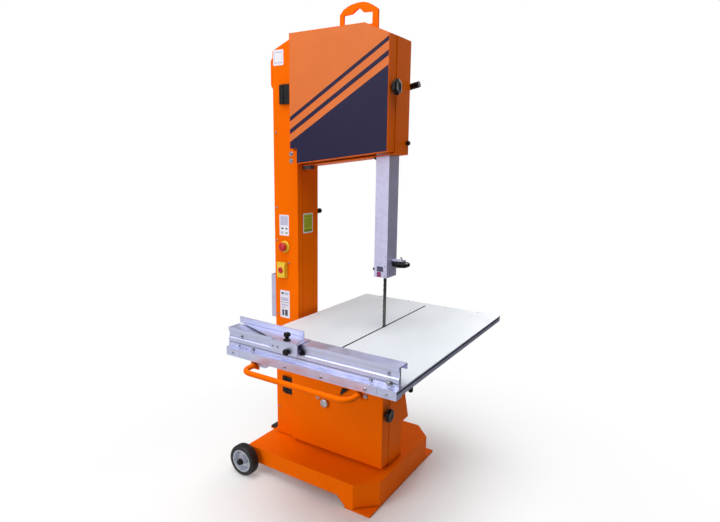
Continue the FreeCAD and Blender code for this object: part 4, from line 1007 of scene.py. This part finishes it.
def make_motor_castings():
    """Cooling fins left and right, end shields and terminal lid."""
    fins, first, open_part = 36, 0.087, 0.74
    bm = bmesh.new()
    for step in range(fins):
        angle = step * math.tau / fins + first
        if abs(math.sin(angle)) <= open_part:
            prism(bm, radial_bar(angle, 71, 79, 1.3, 0.91), "Y", MOTOR_FRONT + 44, MOTOR_BACK - 54)
    for start, end in ((MOTOR_FRONT + 30.5, MOTOR_FRONT + 43), (MOTOR_BACK - 53, MOTOR_BACK - 41)):
        turned(bm, (MOTOR.x, 0, MOTOR.z), "Y", [
            (start, 72.5), (start + 2, 77), (end - 2, 77), (end, 72.5)], 64)
    lid = soft_rect((MOTOR.x - 47, MOTOR.x + 47), (138, 232), 6)
    prism(bm, lid, "Z", MOTOR_TOP - 2, MOTOR_TOP + 4)
    piece("motor_castings", FRAME_BODY, bm, *made_of("motor_paint"), bevel=0.5)


def make_motor_black_parts():
    """Dark disc behind the fan grille and the gland nut of the terminal box."""
    bm = bmesh.new()
    turned(bm, (MOTOR.x, MOTOR_BACK, MOTOR.z), "Y", [(0.3, 60), (1.1, 60), (1.1, 8), (0.3, 8)],
           64, closed=True)
    gland = (MOTOR.x + 56, 185, MOTOR.z + 85)
    turned(bm, gland, "X", [(0, hexagon(15)), (7, hexagon(15)), (8.5, 12.5)], 36)
    piece("motor_black_parts", FRAME_BODY, bm, *made_of("black_plastic"))


def make_fan_grille():
    """Rings, spokes and boss of the fan cover."""
    centre = (MOTOR.x, MOTOR_BACK, MOTOR.z)
    bm = bmesh.new()
    for radius in range(16, 61, 11):
        turned(bm, centre, "Y", [
            (0.2, radius - 1.6), (3, radius - 1.2), (3, radius + 1.2), (0.2, radius + 1.6),
        ], 64, closed=True)
    spokes = 6
    for step in range(spokes):
        outline = radial_bar(step * math.tau / spokes, 9, 60, 2, 2)
        prism(bm, outline, "Y", MOTOR_BACK + 0.2, MOTOR_BACK + 2.6)
    turned(bm, centre, "Y", [(0.2, 12), (3, 11), (3.6, 8)], 40)
    piece("fan_grille", FRAME_BODY, bm, *made_of("motor_paint"))


def make_motor_bolts():
    """Screws of the terminal lid and bolts through the motor's feet."""
    bm = bmesh.new()
    for x in (MOTOR.x - 38, MOTOR.x + 38):
        for y in (146, 224):
            socket_screw(bm, (x, y, MOTOR_TOP + 4), "Z", 4, 2.4)
    for x in (MOTOR.x - 54, MOTOR.x + 54):
        for y in (130, 205):
            hex_bolt(bm, (x, y, lowest("drive_motor").z), "Z", 5.5, 5)
    piece("motor_bolts", FRAME_BODY, bm, *made_of("bright_steel"))


def main():
    """Builds the whole scene."""
    bpy.context.scene.view_settings.view_transform = "Standard"
    make_camera()
    make_world()
    for lamp in LAMPS:
        make_lamp(*lamp)
    make_floor()
    finish_cad_nodes()
    make_door_film()
    make_labels()
    make_cover_bolts()
    make_rear_bolts()
    make_tyres()
    make_star_knobs()
    make_mitre_knob()
    make_table_edge_knob()
    make_head_stop_knob()
    make_buttons()
    make_blade()
    make_treads()
    make_guide_foot()
    make_table_screws()
    make_slot_shade_strips()
    make_saw_slot_lips()
    make_bar_clip()
    make_carriage_details()
    make_door_details()
    make_head_details()
    make_hinge_screws()
    make_tilt_step_ribs()
    make_motor_castings()
    make_motor_black_parts()
    make_fan_grille()
    make_motor_bolts()


main()
